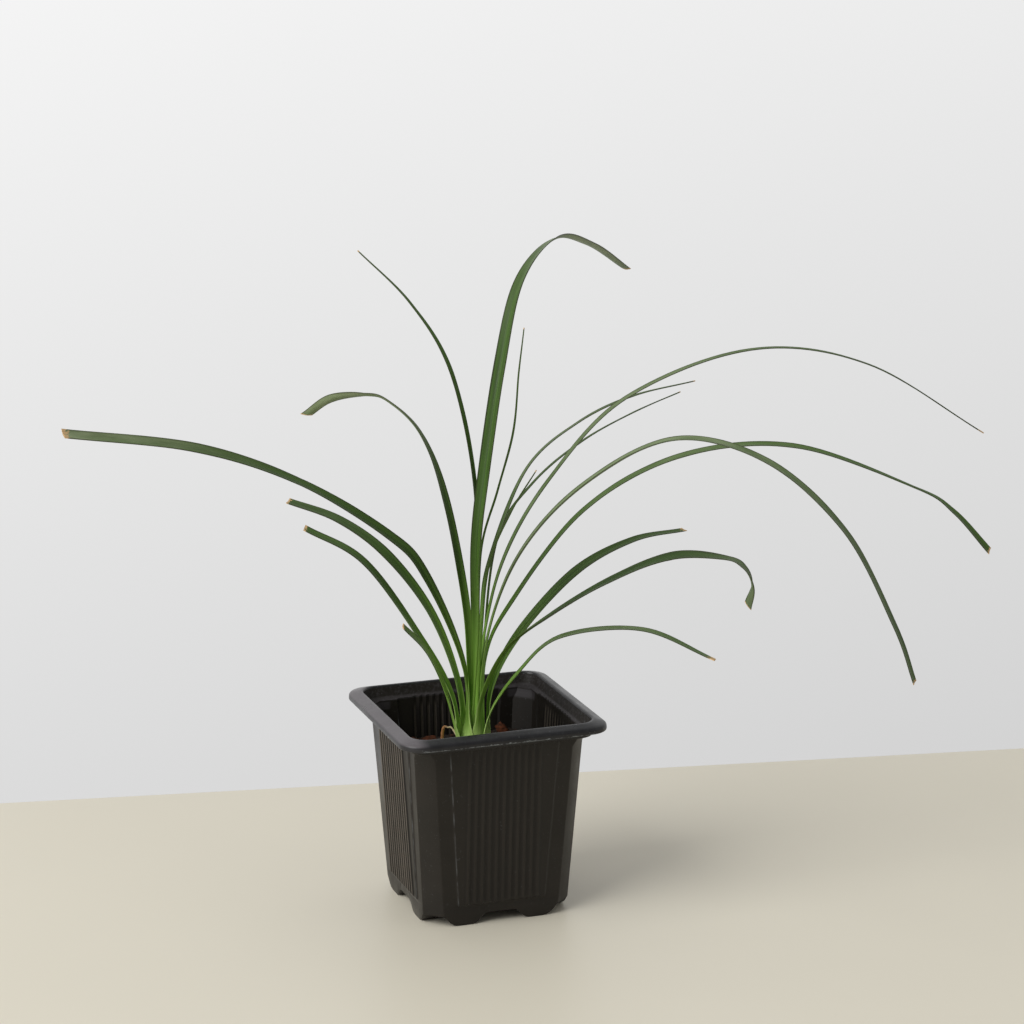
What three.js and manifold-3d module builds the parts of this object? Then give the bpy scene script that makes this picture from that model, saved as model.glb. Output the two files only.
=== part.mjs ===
// A young ponytail palm in a square plastic nursery pot: a ribbed pot on eight low feet, the potting
// mix with bark in it, a swollen stem base, seventeen arching leaves and one dried leaf remnant.
// Millimetres, +Z up. The origin is on the table, at the middle of the whole plant's outline.

import * as THREE from 'three';
import { mergeVertices } from 'three/addons/utils/BufferGeometryUtils.js';
import Module from 'manifold-3d';

// Driving sizes of the pot

const gap = 0.35; // between pieces that touch
const wall = { halfAtTable: 35.35, taper: 0.067, thickness: 1.1, chamfer: 7.7, bottom: 5 };
const shoulder = { from: 83, to: 88.4, chamfer: 4.5 };
const rim = { half: 50, corner: 11, skirtBottom: 90.5, top: 94.5, thickness: 1.2 };
const lipSteps = [[0, 90.5], [0, 93.2], [0.5, 94.1], [1.4, 94.5]]; // [setback, height]
const collar = { outerHalf: 44.2, flare: 0.6, corner: 8, ledgeTop: 88.2, ledgeBottom: 87.4 };
const mouth = { half: 43.6, draft: 0.9, corner: 8 };
const panel = { margin: 6.5, rise: 0.8, step: 1, bottom: 9.4, top: 85.6 };
const ribs = { pitch: 3.4, perSide: 5, height: 0.6 };
const foot = { depth: 7, sunk: 0.6 };
const footOutline = [[6.3, 5], [11, 1.1], [14, 0], [20.5, 0], [23, 0.6], [27.6, 5]]; // [along, height]
const drain = { middleRadius: 5, outerRadius: 4, place: 18 };

// Driving sizes of the plant

const soil = { level: 68, mound: 2, clearance: 1.5, bottom: 6.7, corners: 48 };
const chips = {
  seed: 7, count: 30, nearest: 17, furthest: 31, shortest: 4.5, longest: 8, tilt: 0.35, height: 0.6,
};
const placedChips = [
  { x: 20, y: 18, z: 71.5, length: 8, turn: 0.5, lean: 0.9 },
  { x: -14, y: 27, z: 69, length: 8, turn: 2.8, lean: 0.4 },
];
const crown = { x: -1, y: 0, holeBottom: 59.5, holeRadius: 10.2, sides: 16 };
const crownProfile = [
  [0, 60], [6.5, 60], [9, 64], [9.8, 69], [9.4, 74], [8.8, 79], [8.2, 82], [6, 85.5], [3, 87.5], [0, 88.2],
]; // [radius, height]
const blade = { thickness: 0.7, channel: 0.16, stepsPerPoint: 4 };
const bladeWidths = { root: 0.52, widestFrom: 0.42, widestTo: 0.6 };

// Rings on the crown that the leaves grow from: the radius, and the height where a leaf starts
const outerRing = { radius: 7.4, height: 75 };
const middleRing = { radius: 4.8, height: 78 };
const innerRing = { radius: 2.2, height: 80 };

// Each leaf grows from its ring at the bearing rootTurn, and arches outwards in the upright plane at
// the bearing turn. Its path is [reach from the crown, height above the table, roll in degrees]. The
// sideways offset of the root from that plane fades by the shares in aside over the first points.
const fadingShares = [0.55, 0.2];
const leaves = [
  {
    name: 'leaf_left_long', turn: 186, rootTurn: 224, ring: outerRing, width: 5.6, tip: 0.85,
    path: [[5, 116, -15], [22, 161, -45], [41, 182, -42], [85, 211, -28], [133, 231, -46], [195, 243, -45]],
  },
  {
    name: 'leaf_left_middle', turn: 126, rootTurn: 103, ring: outerRing, width: 5.2, tip: 0.8,
    path: [[9, 105, 0], [24, 136, -5], [50, 160, -23], [78, 173, -23], [109, 178, -20]],
  },
  {
    name: 'leaf_left_low', turn: 146, rootTurn: 143, ring: outerRing, width: 4.8, tip: 0.8,
    path: [[9, 99, -8], [26, 126, -10], [53, 161, -20], [82, 175, -22]],
  },
  {
    name: 'leaf_left_short', turn: 206, rootTurn: 184, ring: outerRing, width: 4.6, tip: 0.6,
    path: [[14, 104, -50], [29, 127, -55], [45, 142, -60]],
  },
  {
    name: 'leaf_left_arching', turn: 131, rootTurn: 176, ring: innerRing, width: 5, tip: 0.8,
    path: [[1, 111, 0], [3, 145, 0], [14, 193, -5], [30, 227, 15], [66, 238, 30], [91, 224, 28]],
  },
  {
    name: 'leaf_left_needle', turn: 116, rootTurn: 80, ring: outerRing, width: 2.4, tip: 0.25,
    aside: [1.45, 2.15, 0.8],
    path: [[6, 140, 0], [8, 196, 0], [17, 250, 0], [40, 280, 0], [76, 301, 0]],
  },
  {
    name: 'leaf_centre_wide', turn: 45, rootTurn: 71, ring: middleRing, width: 6.2, tip: 0.8,
    aside: [0.8, 0.3],
    path: [
      [6, 131, 0], [5, 170, 0], [13, 205, 0], [30, 252, 0],
      [52, 288, -18], [90, 303, -22], [132, 294, -6], [174, 275, 0],
    ],
  },
  {
    name: 'leaf_centre_needle', turn: -69, rootTurn: 236, ring: middleRing, width: 1.2, tip: 0.5,
    path: [[6, 129, 0], [7, 171, 0], [18, 201, 0], [29, 230, 0], [33, 258, 0], [36, 277, 0]],
  },
  {
    name: 'leaf_right_upper', turn: 16, rootTurn: 16, ring: middleRing, width: 3.2, tip: 0.3,
    path: [[5, 138, 0], [11, 166, 0], [31, 204, -18], [60, 222, -12], [92, 231, 5], [130, 234, 0]],
  },
  {
    name: 'leaf_right_thread', turn: 33, rootTurn: 40, ring: outerRing, width: 1.4, tip: 0.5,
    path: [[9, 125, 0], [19, 172, 0], [46, 193, 0], [84, 206, 0], [125, 213, 0], [167, 217, 0]],
  },
  {
    name: 'leaf_right_young', turn: -64, rootTurn: 263, ring: middleRing, width: 1.4, tip: 0.5,
    aside: [0.2, 0.1],
    path: [[6, 130, 0], [11, 165, 0], [25, 192, 0], [41, 214, 0]],
  },
  {
    name: 'leaf_right_long', turn: -7, rootTurn: 301, ring: innerRing, width: 3.4, tip: 0.3,
    path: [
      [4, 121, 7], [15, 165, 7], [38, 203, 7], [73, 238, 9],
      [132, 258, 7], [189, 249, 7], [248, 213, 7],
    ],
  },
  {
    name: 'leaf_right_drooping', turn: -45, rootTurn: 293, ring: middleRing, width: 5, tip: 0.85,
    path: [
      [8, 128, 30], [25, 171, 30], [57, 207, 24], [100, 232, 20],
      [144, 226, 12], [181, 198, 2], [205, 158, 0], [215, 133, 0],
    ],
  },
  {
    name: 'leaf_right_far', turn: -21, rootTurn: 336, ring: middleRing, width: 4.5, tip: 0.85,
    path: [
      [6, 118, 15], [18, 145, 18], [51, 189, 15], [95, 215, 15],
      [147, 220, 15], [203, 201, 0], [238, 171, 20],
    ],
  },
  {
    name: 'leaf_right_middle', turn: 6, rootTurn: 349, ring: outerRing, width: 5, tip: 0.75,
    path: [[9, 102, 6], [24, 127, 20], [53, 153, 26], [83, 165, 15], [111, 167, 8]],
  },
  {
    name: 'leaf_right_curled', turn: -67, rootTurn: 267, ring: outerRing, width: 5, tip: 0.7,
    path: [
      [8, 99, 8], [24, 127, 10], [53, 150, 28], [93, 174, 38],
      [130, 191, 42], [162, 196, 5], [177, 189, -52], [175, 178, -64],
    ],
  },
  {
    name: 'leaf_right_low', turn: -54, rootTurn: 311, ring: outerRing, width: 4, tip: 0.7,
    path: [[9, 92, 30], [24, 115, 30], [48, 138, 24], [93, 147, 14], [131, 138, -5]],
  },
];

// The dried remnant of an old leaf, folded over at the foot of the crown
const dryLeaf = {
  turn: 165, width: 2.2,
  path: [[9.9, 77.5], [11.6, 82.5], [13.6, 84.6], [15.3, 80.5], [16.1, 75], [16.6, 71.2]],
};

// Materials

const finish = (color, roughness) => new THREE.MeshStandardMaterial({ color, roughness, metalness: 0 });
const potPlastic = finish(0x2b2929, 0.5);
const pottingMix = finish(0x3a2a20, 0.95);
const stemGreen = finish(0x6f9440, 0.6);
const leafGreen = finish(0x3f6b33, 0.5);
const dryTan = finish(0xb98d5a, 0.85);

// Solids

const wasm = await Module();
wasm.setup();

function geometryOf(positions, triangles) {
  const geometry = new THREE.BufferGeometry();
  geometry.setAttribute('position', new THREE.Float32BufferAttribute(positions, 3));
  geometry.setIndex(triangles);
  return geometry;
}

function toManifold(geometry) {
  const bare = geometry.clone();
  bare.deleteAttribute('normal');
  bare.deleteAttribute('uv');
  const merged = mergeVertices(bare);
  return new wasm.Manifold(new wasm.Mesh({
    numProp: 3,
    vertProperties: new Float32Array(merged.attributes.position.array),
    triVerts: new Uint32Array(merged.index.array),
  }));
}

function toGeometry(solid) {
  const mesh = solid.getMesh();
  const positions = [];
  for (let i = 0; i < mesh.vertProperties.length; i += mesh.numProp) {
    positions.push(mesh.vertProperties[i], mesh.vertProperties[i + 1], mesh.vertProperties[i + 2]);
  }
  return geometryOf(positions, Array.from(mesh.triVerts));
}

// The largest connected skin of a solid, which fills sealed hollows and drops loose scraps
function wholeBody(solid) {
  return solid.decompose().reduce((best, part) => (part.volume() > best.volume() ? part : best));
}

const middleOf = (loop) => (
  loop.reduce((sum, point) => sum.add(point), new THREE.Vector3()).divideScalar(loop.length)
);

// A closed skin through loops of equal length, each turning anticlockwise about the way they follow
// one another, with a fan of triangles round a middle point at both ends. From the corner
// splitOther on, quads are split along their other diagonal.
function loft(loops, splitOther = Infinity, middle = middleOf) {
  const count = loops[0].length;
  const last = (loops.length - 1) * count;
  const ends = [middle(loops[0]), middle(loops[loops.length - 1])];
  const positions = [...loops.flat(), ...ends].flatMap((point) => point.toArray());
  const triangles = [];
  for (let i = 0; i < count; i += 1) {
    const next = (i + 1) % count;
    for (let k = 0; k < last; k += count) {
      const [a, b, c, d] = [k + i, k + next, k + count + next, k + count + i];
      if (i < splitOther) triangles.push(a, b, c, a, c, d);
      else triangles.push(a, b, d, b, c, d);
    }
    triangles.push(last + count, next, i, last + count + 1, last + i, last + next);
  }
  return geometryOf(positions, triangles);
}

// The pot

const quarterTurn = Math.PI / 2;
const upwards = new THREE.Vector3(0, 0, 1);
const insetShare = Math.SQRT2 - 1;

const wallHalf = (z) => wall.halfAtTable + wall.taper * z;

// Half of a face's width, between its two chamfers, for a wall set back by inset
function faceEdge(z, inset, leg = wall.chamfer) {
  return wallHalf(z) - leg - insetShare * inset;
}

// At the shoulder the chamfer narrows in a slanted facet towards the square collar
function chamferAt(z) {
  const share = THREE.MathUtils.smoothstep(z, shoulder.from, shoulder.to);
  return THREE.MathUtils.lerp(wall.chamfer, shoulder.chamfer, share);
}

// One level of the eight-sided wall; relief 1 raises the ribbed panel in each face, and 0 leaves it flat
function wallLoop(z, inset, relief) {
  const half = wallHalf(z) - inset;
  const edge = faceEdge(z, inset, chamferAt(z));
  const panelEdge = faceEdge(z, inset) - panel.margin;
  const profile = [[-edge, 0], [-panelEdge, 0], [-panelEdge + panel.step, panel.rise]];
  for (let i = -ribs.perSide; i <= ribs.perSide; i += 1) {
    profile.push([(i - 0.5) * ribs.pitch, panel.rise], [i * ribs.pitch, panel.rise + ribs.height]);
  }
  profile.push([(ribs.perSide + 0.5) * ribs.pitch, panel.rise]);
  profile.push([panelEdge - panel.step, panel.rise], [panelEdge, 0], [edge, 0]);
  const loop = [];
  for (let face = 0; face < 4; face += 1) {
    for (const [along, rise] of profile) {
      const point = new THREE.Vector3(half + rise * relief, along, z);
      loop.push(point.applyAxisAngle(upwards, face * quarterTurn));
    }
  }
  return loop;
}

function roundedSquare(half, corner, z) {
  const segments = 5;
  const loop = [];
  for (let quarter = 0; quarter < 4; quarter += 1) {
    for (let i = 0; i <= segments; i += 1) {
      const angle = (quarter + i / segments) * quarterTurn;
      const turn = (quarter + 0.5) * quarterTurn;
      const centreX = Math.SQRT2 * (half - corner) * Math.cos(turn);
      const centreY = Math.SQRT2 * (half - corner) * Math.sin(turn);
      const x = centreX + corner * Math.cos(angle);
      const y = centreY + corner * Math.sin(angle);
      loop.push(new THREE.Vector3(x, y, z));
    }
  }
  return loop;
}

function wallSolid(inset, bottom) {
  return toManifold(loft([
    wallLoop(bottom, inset, 0),
    wallLoop(panel.bottom, inset, 0),
    wallLoop(panel.bottom + panel.step, inset, 1),
    wallLoop(panel.top - panel.step, inset, 1),
    wallLoop(panel.top, inset, 0),
    wallLoop(shoulder.to, inset, 0),
  ]));
}

function rimSolid() {
  const lip = toManifold(loft(lipSteps.map(([setback, z]) => (
    roundedSquare(rim.half - setback, rim.corner - setback, z)
  ))));
  const underside = toManifold(loft([rim.skirtBottom - 1, rim.top - rim.thickness].map((z) => (
    roundedSquare(rim.half - rim.thickness, rim.corner - rim.thickness, z)
  ))));
  const neck = toManifold(loft([
    roundedSquare(collar.outerHalf, collar.corner, collar.ledgeBottom),
    roundedSquare(collar.outerHalf + collar.flare, collar.corner, rim.top - rim.thickness / 2),
  ]));
  return lip.subtract(underside).add(neck);
}

// One of the two low pads under each face, mirrored by side
function footSolid(face, side) {
  const [[innerAlong]] = footOutline;
  const [outerAlong] = footOutline[footOutline.length - 1];
  const sunkTop = wall.bottom + foot.sunk;
  const closed = [[innerAlong, sunkTop], ...footOutline, [outerAlong, sunkTop]];
  const loops = [foot.depth, 0].map((depth) => closed.map(([along, z]) => (
    new THREE.Vector3(wallHalf(z) - depth, side * along, z)
  )));
  if (side < 0) loops.forEach((loop) => loop.reverse());
  const geometry = loft(loops);
  geometry.rotateZ(face * quarterTurn);
  return toManifold(geometry);
}

function upright(radius, bottom, top, x = 0, y = 0) {
  const geometry = new THREE.CylinderGeometry(radius, radius, top - bottom, 16);
  geometry.rotateX(quarterTurn);
  geometry.translate(x, y, (top + bottom) / 2);
  return toManifold(geometry);
}

function potGeometry() {
  const floorTop = wall.bottom + wall.thickness;
  const opening = toManifold(loft([
    roundedSquare(mouth.half - mouth.draft, mouth.corner - mouth.draft, collar.ledgeTop),
    roundedSquare(mouth.half, mouth.corner, rim.top + 1),
  ]));
  let pot = wallSolid(0, wall.bottom).add(rimSolid());
  pot = pot.subtract(wallSolid(wall.thickness, floorTop)).subtract(opening);
  for (let face = 0; face < 4; face += 1) {
    pot = pot.add(footSolid(face, 1)).add(footSolid(face, -1));
    const place = new THREE.Vector3(drain.place, drain.place, 0);
    place.applyAxisAngle(upwards, face * quarterTurn);
    pot = pot.subtract(upright(drain.outerRadius, 0, floorTop + 1, place.x, place.y));
  }
  return toGeometry(pot.subtract(upright(drain.middleRadius, 0, floorTop + 1)));
}

// The potting mix

function seeded(seed) {
  let state = seed;
  return () => {
    state = (state * 16807) % 2147483647;
    return state / 2147483647;
  };
}

// The point at a bearing on the eight-sided outline of the mix
function mixEdge(angle, z) {
  const half = wallHalf(z) - soil.clearance;
  const edge = faceEdge(z, soil.clearance);
  const c = Math.abs(Math.cos(angle));
  const s = Math.abs(Math.sin(angle));
  const reach = Math.min(half / Math.max(c, s), (half + edge) / (c + s));
  return new THREE.Vector3(reach * Math.cos(angle), reach * Math.sin(angle), z);
}

// Low waves on the surface of the mix
const lump = (x, y) => 0.8 * Math.sin(0.31 * x + 1.3) * Math.cos(0.27 * y - 0.4)
  + 0.45 * Math.sin(0.9 * x + 0.7 * y) + 0.4 * Math.sin(1.3 * y - 0.5 * x);

function mixBody() {
  const angles = Array.from({ length: soil.corners }, (_, i) => (i + 0.5) * 2 * Math.PI / soil.corners);
  const lowerEdge = angles.map((angle) => mixEdge(angle, soil.bottom));
  const upperEdge = angles.map((angle) => mixEdge(angle, soil.level));
  const hole = angles.map((angle) => new THREE.Vector3(
    crown.x + crown.holeRadius * Math.cos(angle), crown.y + crown.holeRadius * Math.sin(angle), 0,
  ));
  const surface = (share) => upperEdge.map((edge, i) => {
    const point = edge.clone().lerp(hole[i], share);
    point.z = soil.level + soil.mound * share + lump(point.x, point.y);
    return point;
  });
  const holeBottom = hole.map((point) => point.clone().setZ(crown.holeBottom));
  const shares = [0.05, 0.2, 0.36, 0.52, 0.68, 0.84, 1];
  return toManifold(loft([lowerEdge, upperEdge, ...shares.map(surface), holeBottom]));
}

// A flat splinter of bark, sunk into the mix
function barkChip(x, y, z, length, turn, lean) {
  const chip = new THREE.BoxGeometry(length, length * 0.55, length * 0.24);
  chip.rotateX(lean);
  chip.rotateY(lean * 0.6);
  chip.rotateZ(turn);
  chip.translate(x, y, z);
  return toManifold(chip);
}

function mixGeometry() {
  const random = seeded(chips.seed);
  let mix = mixBody();
  for (const chip of placedChips) {
    mix = mix.add(barkChip(chip.x, chip.y, chip.z, chip.length, chip.turn, chip.lean));
  }
  for (let i = 0; i < chips.count; i += 1) {
    const angle = random() * 2 * Math.PI;
    const reach = THREE.MathUtils.lerp(chips.nearest, chips.furthest, random());
    const length = THREE.MathUtils.lerp(chips.shortest, chips.longest, random());
    const turn = random() * Math.PI;
    const lean = THREE.MathUtils.lerp(-chips.tilt, chips.tilt, random());
    const x = reach * Math.cos(angle);
    const y = reach * Math.sin(angle);
    mix = mix.add(barkChip(x, y, soil.level + chips.height, length, turn, lean));
  }
  return toGeometry(wholeBody(mix));
}

// Leaves

const radians = THREE.MathUtils.degToRad;

function leafPoints(leaf) {
  const out = radians(leaf.turn);
  const aside = radians(leaf.rootTurn - leaf.turn);
  const sideways = leaf.ring.radius * Math.sin(aside);
  const root = [leaf.ring.radius * Math.cos(aside), leaf.ring.height];
  return [root, ...leaf.path].map(([reach, height], i) => {
    const offset = i === 0 ? sideways : sideways * ((leaf.aside ?? fadingShares)[i - 1] ?? 0);
    return new THREE.Vector3(
      crown.x + reach * Math.cos(out) - offset * Math.sin(out),
      crown.y + reach * Math.sin(out) + offset * Math.cos(out),
      height,
    );
  });
}

// The roll at each point of the path; the root faces outwards from the crown
function leafRolls(leaf) {
  const rootRoll = THREE.MathUtils.euclideanModulo(leaf.rootTurn - leaf.turn + 180, 360) - 180;
  return [rootRoll, ...leaf.path.map(([, , roll]) => roll)];
}

// How wide a leaf is at a share of its length: narrow at the root, widest past a third, then tapering
function widthShare(share, tip) {
  const { root, widestFrom, widestTo } = bladeWidths;
  if (share < widestFrom) return root + (1 - root) * THREE.MathUtils.smoothstep(share, 0, widestFrom);
  if (share < widestTo) return 1;
  return THREE.MathUtils.lerp(1, tip, (share - widestTo) / (1 - widestTo));
}

// A shallow channel across the leaf: three corners along its face and three along its back
function bladeLoop(centre, side, normal, width, thickness) {
  const lift = width * blade.channel;
  const half = thickness / 2;
  const corner = (across, up) => centre.clone().addScaledVector(side, across).addScaledVector(normal, up);
  return [
    corner(-width / 2, lift - half), corner(0, -half), corner(width / 2, lift - half),
    corner(width / 2, lift + half), corner(0, half), corner(-width / 2, lift + half),
  ];
}

// Loops along a leaf between two shares of its length, all round fatter by extra
function bladeLoops(leaf, from, to, extra) {
  const points = leafPoints(leaf);
  const rolls = leafRolls(leaf);
  const curve = new THREE.CatmullRomCurve3(points, false, 'catmullrom', 0.5);
  const spans = points.length - 1;
  const steps = Math.max(2, Math.round(spans * blade.stepsPerPoint * (to - from)));
  const out = radians(leaf.turn);
  const level = new THREE.Vector3(-Math.sin(out), Math.cos(out), 0);
  const loops = [];
  for (let i = 0; i <= steps; i += 1) {
    const share = from + (to - from) * i / steps;
    const span = Math.min(Math.floor(share * spans), spans - 1);
    const roll = radians(THREE.MathUtils.lerp(rolls[span], rolls[span + 1], share * spans - span));
    const tangent = curve.getTangent(share);
    const normal = new THREE.Vector3().crossVectors(tangent, level).normalize();
    const flat = new THREE.Vector3().crossVectors(normal, tangent);
    const side = flat.clone().multiplyScalar(Math.cos(roll)).addScaledVector(normal, Math.sin(roll));
    const up = new THREE.Vector3().crossVectors(tangent, side);
    const width = Math.max(leaf.width * widthShare(share, leaf.tip), blade.thickness);
    const centre = curve.getPoint(share);
    if (extra > 0 && i === 0) centre.addScaledVector(tangent, -extra);
    loops.push(bladeLoop(centre, side, up, width + 2 * extra, blade.thickness + 2 * extra));
  }
  return loops;
}

// A blade's skin: its face and back are split alike, and its ends close round the channel's middle
function bladeSkin(loops) {
  const faceCorners = 3;
  return loft(loops, faceCorners, (loop) => middleOf([loop[1], loop[4]]));
}

const leafGeometry = (leaf) => bladeSkin(bladeLoops(leaf, 0, 1, 0));

function dryLeafGeometry() {
  const out = radians(dryLeaf.turn);
  const points = dryLeaf.path.map(([reach, height]) => new THREE.Vector3(
    crown.x + reach * Math.cos(out), crown.y + reach * Math.sin(out), height,
  ));
  const curve = new THREE.CatmullRomCurve3(points, false, 'catmullrom', 0.5);
  const side = new THREE.Vector3(-Math.sin(out), Math.cos(out), 0);
  const steps = 15;
  const loops = [];
  for (let i = 0; i <= steps; i += 1) {
    const tangent = curve.getTangent(i / steps);
    const up = new THREE.Vector3().crossVectors(tangent, side).normalize();
    loops.push(bladeLoop(curve.getPoint(i / steps), side, up, dryLeaf.width, blade.thickness));
  }
  return bladeSkin(loops);
}

// The stem's swollen base and crown, with a slot for the root of each leaf
function crownGeometry() {
  const profile = crownProfile.map(([radius, z]) => new THREE.Vector2(radius, z));
  const lathe = new THREE.LatheGeometry(profile, crown.sides);
  lathe.rotateX(quarterTurn);
  lathe.translate(crown.x, crown.y, 0);
  let stem = toManifold(lathe);
  for (const leaf of leaves) {
    const slotShare = 1 / leaf.path.length;
    stem = stem.subtract(toManifold(bladeSkin(bladeLoops(leaf, 0, slotShare, gap))));
  }
  return toGeometry(wholeBody(stem));
}

// The whole plant

const plant = new THREE.Group();

function addPiece(name, geometry, material) {
  const mesh = new THREE.Mesh(geometry, material);
  mesh.name = name;
  plant.add(mesh);
}

addPiece('pot', potGeometry(), potPlastic);
addPiece('potting_mix', mixGeometry(), pottingMix);
addPiece('stem_base', crownGeometry(), stemGreen);
for (const leaf of leaves) addPiece(leaf.name, leafGeometry(leaf), leafGreen);
addPiece('dry_leaf', dryLeafGeometry(), dryTan);

const outline = new THREE.Box3().setFromObject(plant);
plant.position.set(-(outline.min.x + outline.max.x) / 2, -(outline.min.y + outline.max.y) / 2, 0);

export default plant;
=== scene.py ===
# A young ponytail palm in its square nursery pot: the finer pieces that stand for the solids, their
# finishes, and a plain studio. Metres, +Z up, in the frame of the solids. The sizes in the tables
# below are millimetres from the pot's own axis, and each piece is moved to its place when finished.

import math
import random
from collections import namedtuple

import bmesh
import bpy
from bpy.props import FloatProperty, FloatVectorProperty, IntProperty, PointerProperty
from mathutils import Matrix, Vector, noise


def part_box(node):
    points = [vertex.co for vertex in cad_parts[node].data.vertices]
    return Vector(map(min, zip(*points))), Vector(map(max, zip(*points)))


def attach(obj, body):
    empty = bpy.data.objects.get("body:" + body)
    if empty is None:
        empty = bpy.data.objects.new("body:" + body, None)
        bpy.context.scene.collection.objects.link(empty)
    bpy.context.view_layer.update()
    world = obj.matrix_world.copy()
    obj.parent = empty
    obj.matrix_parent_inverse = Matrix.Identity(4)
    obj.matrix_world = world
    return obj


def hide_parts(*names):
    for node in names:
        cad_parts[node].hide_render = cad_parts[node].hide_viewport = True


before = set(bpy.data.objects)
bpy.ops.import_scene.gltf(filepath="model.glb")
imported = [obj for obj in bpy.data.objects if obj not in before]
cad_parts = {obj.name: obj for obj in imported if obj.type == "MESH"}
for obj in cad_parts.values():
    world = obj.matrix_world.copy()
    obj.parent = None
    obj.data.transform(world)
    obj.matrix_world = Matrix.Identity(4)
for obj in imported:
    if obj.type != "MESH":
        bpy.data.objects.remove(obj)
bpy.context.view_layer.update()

bl_info = {
    "name": "Potted Ponytail Palm",
    "version": (1, 0, 0),
    "blender": (4, 5, 0),
    "location": "View3D > Sidebar > Ponytail Palm",
    "description": "Makes a young ponytail palm in its square nursery pot",
    "category": "Add Mesh",
}

MM = 0.001
POT_LOW, POT_HIGH = (Vector(corner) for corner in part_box("pot"))
POT_AXIS = Vector(((POT_LOW.x + POT_HIGH.x) / 2, (POT_LOW.y + POT_HIGH.y) / 2, 0))

# The rim and collar, as rounded squares bridged in turn: [half of the width, corner radius, height]
RIM_LOOPS = [
    (48.7, 9.75, 92.6), (48.8, 9.8, 90.95), (48.95, 9.95, 90.65), (49.3, 10.3, 90.5), (49.7, 10.7, 90.53),
    (49.93, 10.93, 90.72), (50, 11, 91.05), (50, 11, 92), (49.9, 10.9, 92.7), (49.6, 10.6, 93.25),
    (49, 10, 93.65), (47.8, 9.5, 94.05), (46.4, 9, 94.5), (45.3, 8.7, 94.83), (44.55, 8.4, 94.93),
    (44, 8.1, 94.68), (43.75, 7.9, 94.1), (42.2, 7.2, 90.3), (41.8, 7, 89.5), (41.3, 6.8, 89.1),
    (40.3, 6, 88.6), (38, 5, 88.05), (38, 5, 87.55), (43.75, 7.6, 87.4), (44.1, 7.9, 87.6), (44.22, 8, 88),
    (44.8, 8.5, 93.1), (45.3, 8.8, 93.4),
]

# Heights of the wall, in metres, and what its cut corners take from each side at the top
WALL_BOTTOM, SHOULDER, WALL_TOP = 5 * MM, 83 * MM, 88 * MM
TOP_CHAMFER = 4.8 * MM
ON_LINE = 0.02 * MM  # points nearer to a line than this lie on it
CORNERS = ((1, 1), (-1, 1), (-1, -1), (1, -1))

# The heights scored across a face: the foot of its panel's slope, the panel's lower edge, where the
# ribs are full, and where they end
SCORED = (9.6, 10.6, 11.6, 86.2)
PANEL_FROM = 10.1
RIB_STAGES = ((10.1, 11, 0.7), (11.1, 87, 1), (87.1, 90, 0.6))  # [from, to, share of the ribs' height]
RIB_FLANK = 0.45  # how high a rib's flanks are, as a share of its crest

# The feet's height and depth in metres, and the drain holes: [x, y, radius]
FOOT_TOP, FOOT_DEPTH = 8.6 * MM, 7 * MM
DRAIN_HOLES = [(0, 0, 5)] + [(x * 18, y * 18, 4) for x in (-1, 1) for y in (-1, 1)]

# The lower edge of one foot: [place along the face, height]
FOOT_EDGE = [
    (5.6, 5.6), (7.3, 4.85), (8.8, 3.75), (10.1, 2.4), (11.4, 1.1), (12.7, 0.3), (14, 0), (17, 0),
    (20.2, 0), (21.8, 0.15), (23.3, 0.7), (24.9, 1.9), (26.4, 3.6), (28, 5.6),
]

# The potting mix: cells across, the height of its underside in metres, and its waves as [name, size, depth]
BED_CELLS = 130
BED_BOTTOM = 7 * MM
BED_WAVES = (("low waves", 13, 2.6), ("lumps", 4.2, 2.2), ("grit", 1.5, 0.9))

# The two chips that stand against the wall, each from a pattern of its own: [place, turns as
# (angle, axis), size, tone]
LEANING_BARK = (
    ((22.6, 27, 71.9), ((-0.35, "Z"), (1.5, "X"), (2.2, "Z")), 0.76, 0.3),
    ((-14.2, 27.5, 70.6), ((-0.35, "Z"), (0.9, "X"), (0.35, "Z")), 0.7, 0.4),
)

# The swollen foot of the stem: [radius, height]
CROWN_PROFILE = [
    (6, 60), (7.4, 62.5), (8.1, 65), (8.3, 67), (8.0, 67.6), (8.35, 68.6), (8.3, 70), (7.9, 70.5),
    (8.1, 71.4), (7.8, 73), (7.35, 73.5), (7.4, 74.4), (6.9, 76.5), (6.3, 78.5), (5.5, 81), (4.3, 83.5),
    (2.6, 85.4), (1, 86.2),
]
CROWN_PLACE = Vector((-1, 0, 0))

# The rings that the leaves grow from, with the radius and height where their sheaths start, the
# sheaths' width, and how fresh the green is near the crown
Ring = namedtuple("Ring", "radius height foot_radius foot_height sheath youth")
OUTER = Ring(7.4, 75, 8.3, 66.5, 8.6, 0.6)
MIDDLE = Ring(4.8, 78, 6.2, 71.5, 6.6, 0.8)
INNER = Ring(2.2, 80, 4.2, 75, 5.0, 0.9)

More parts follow.
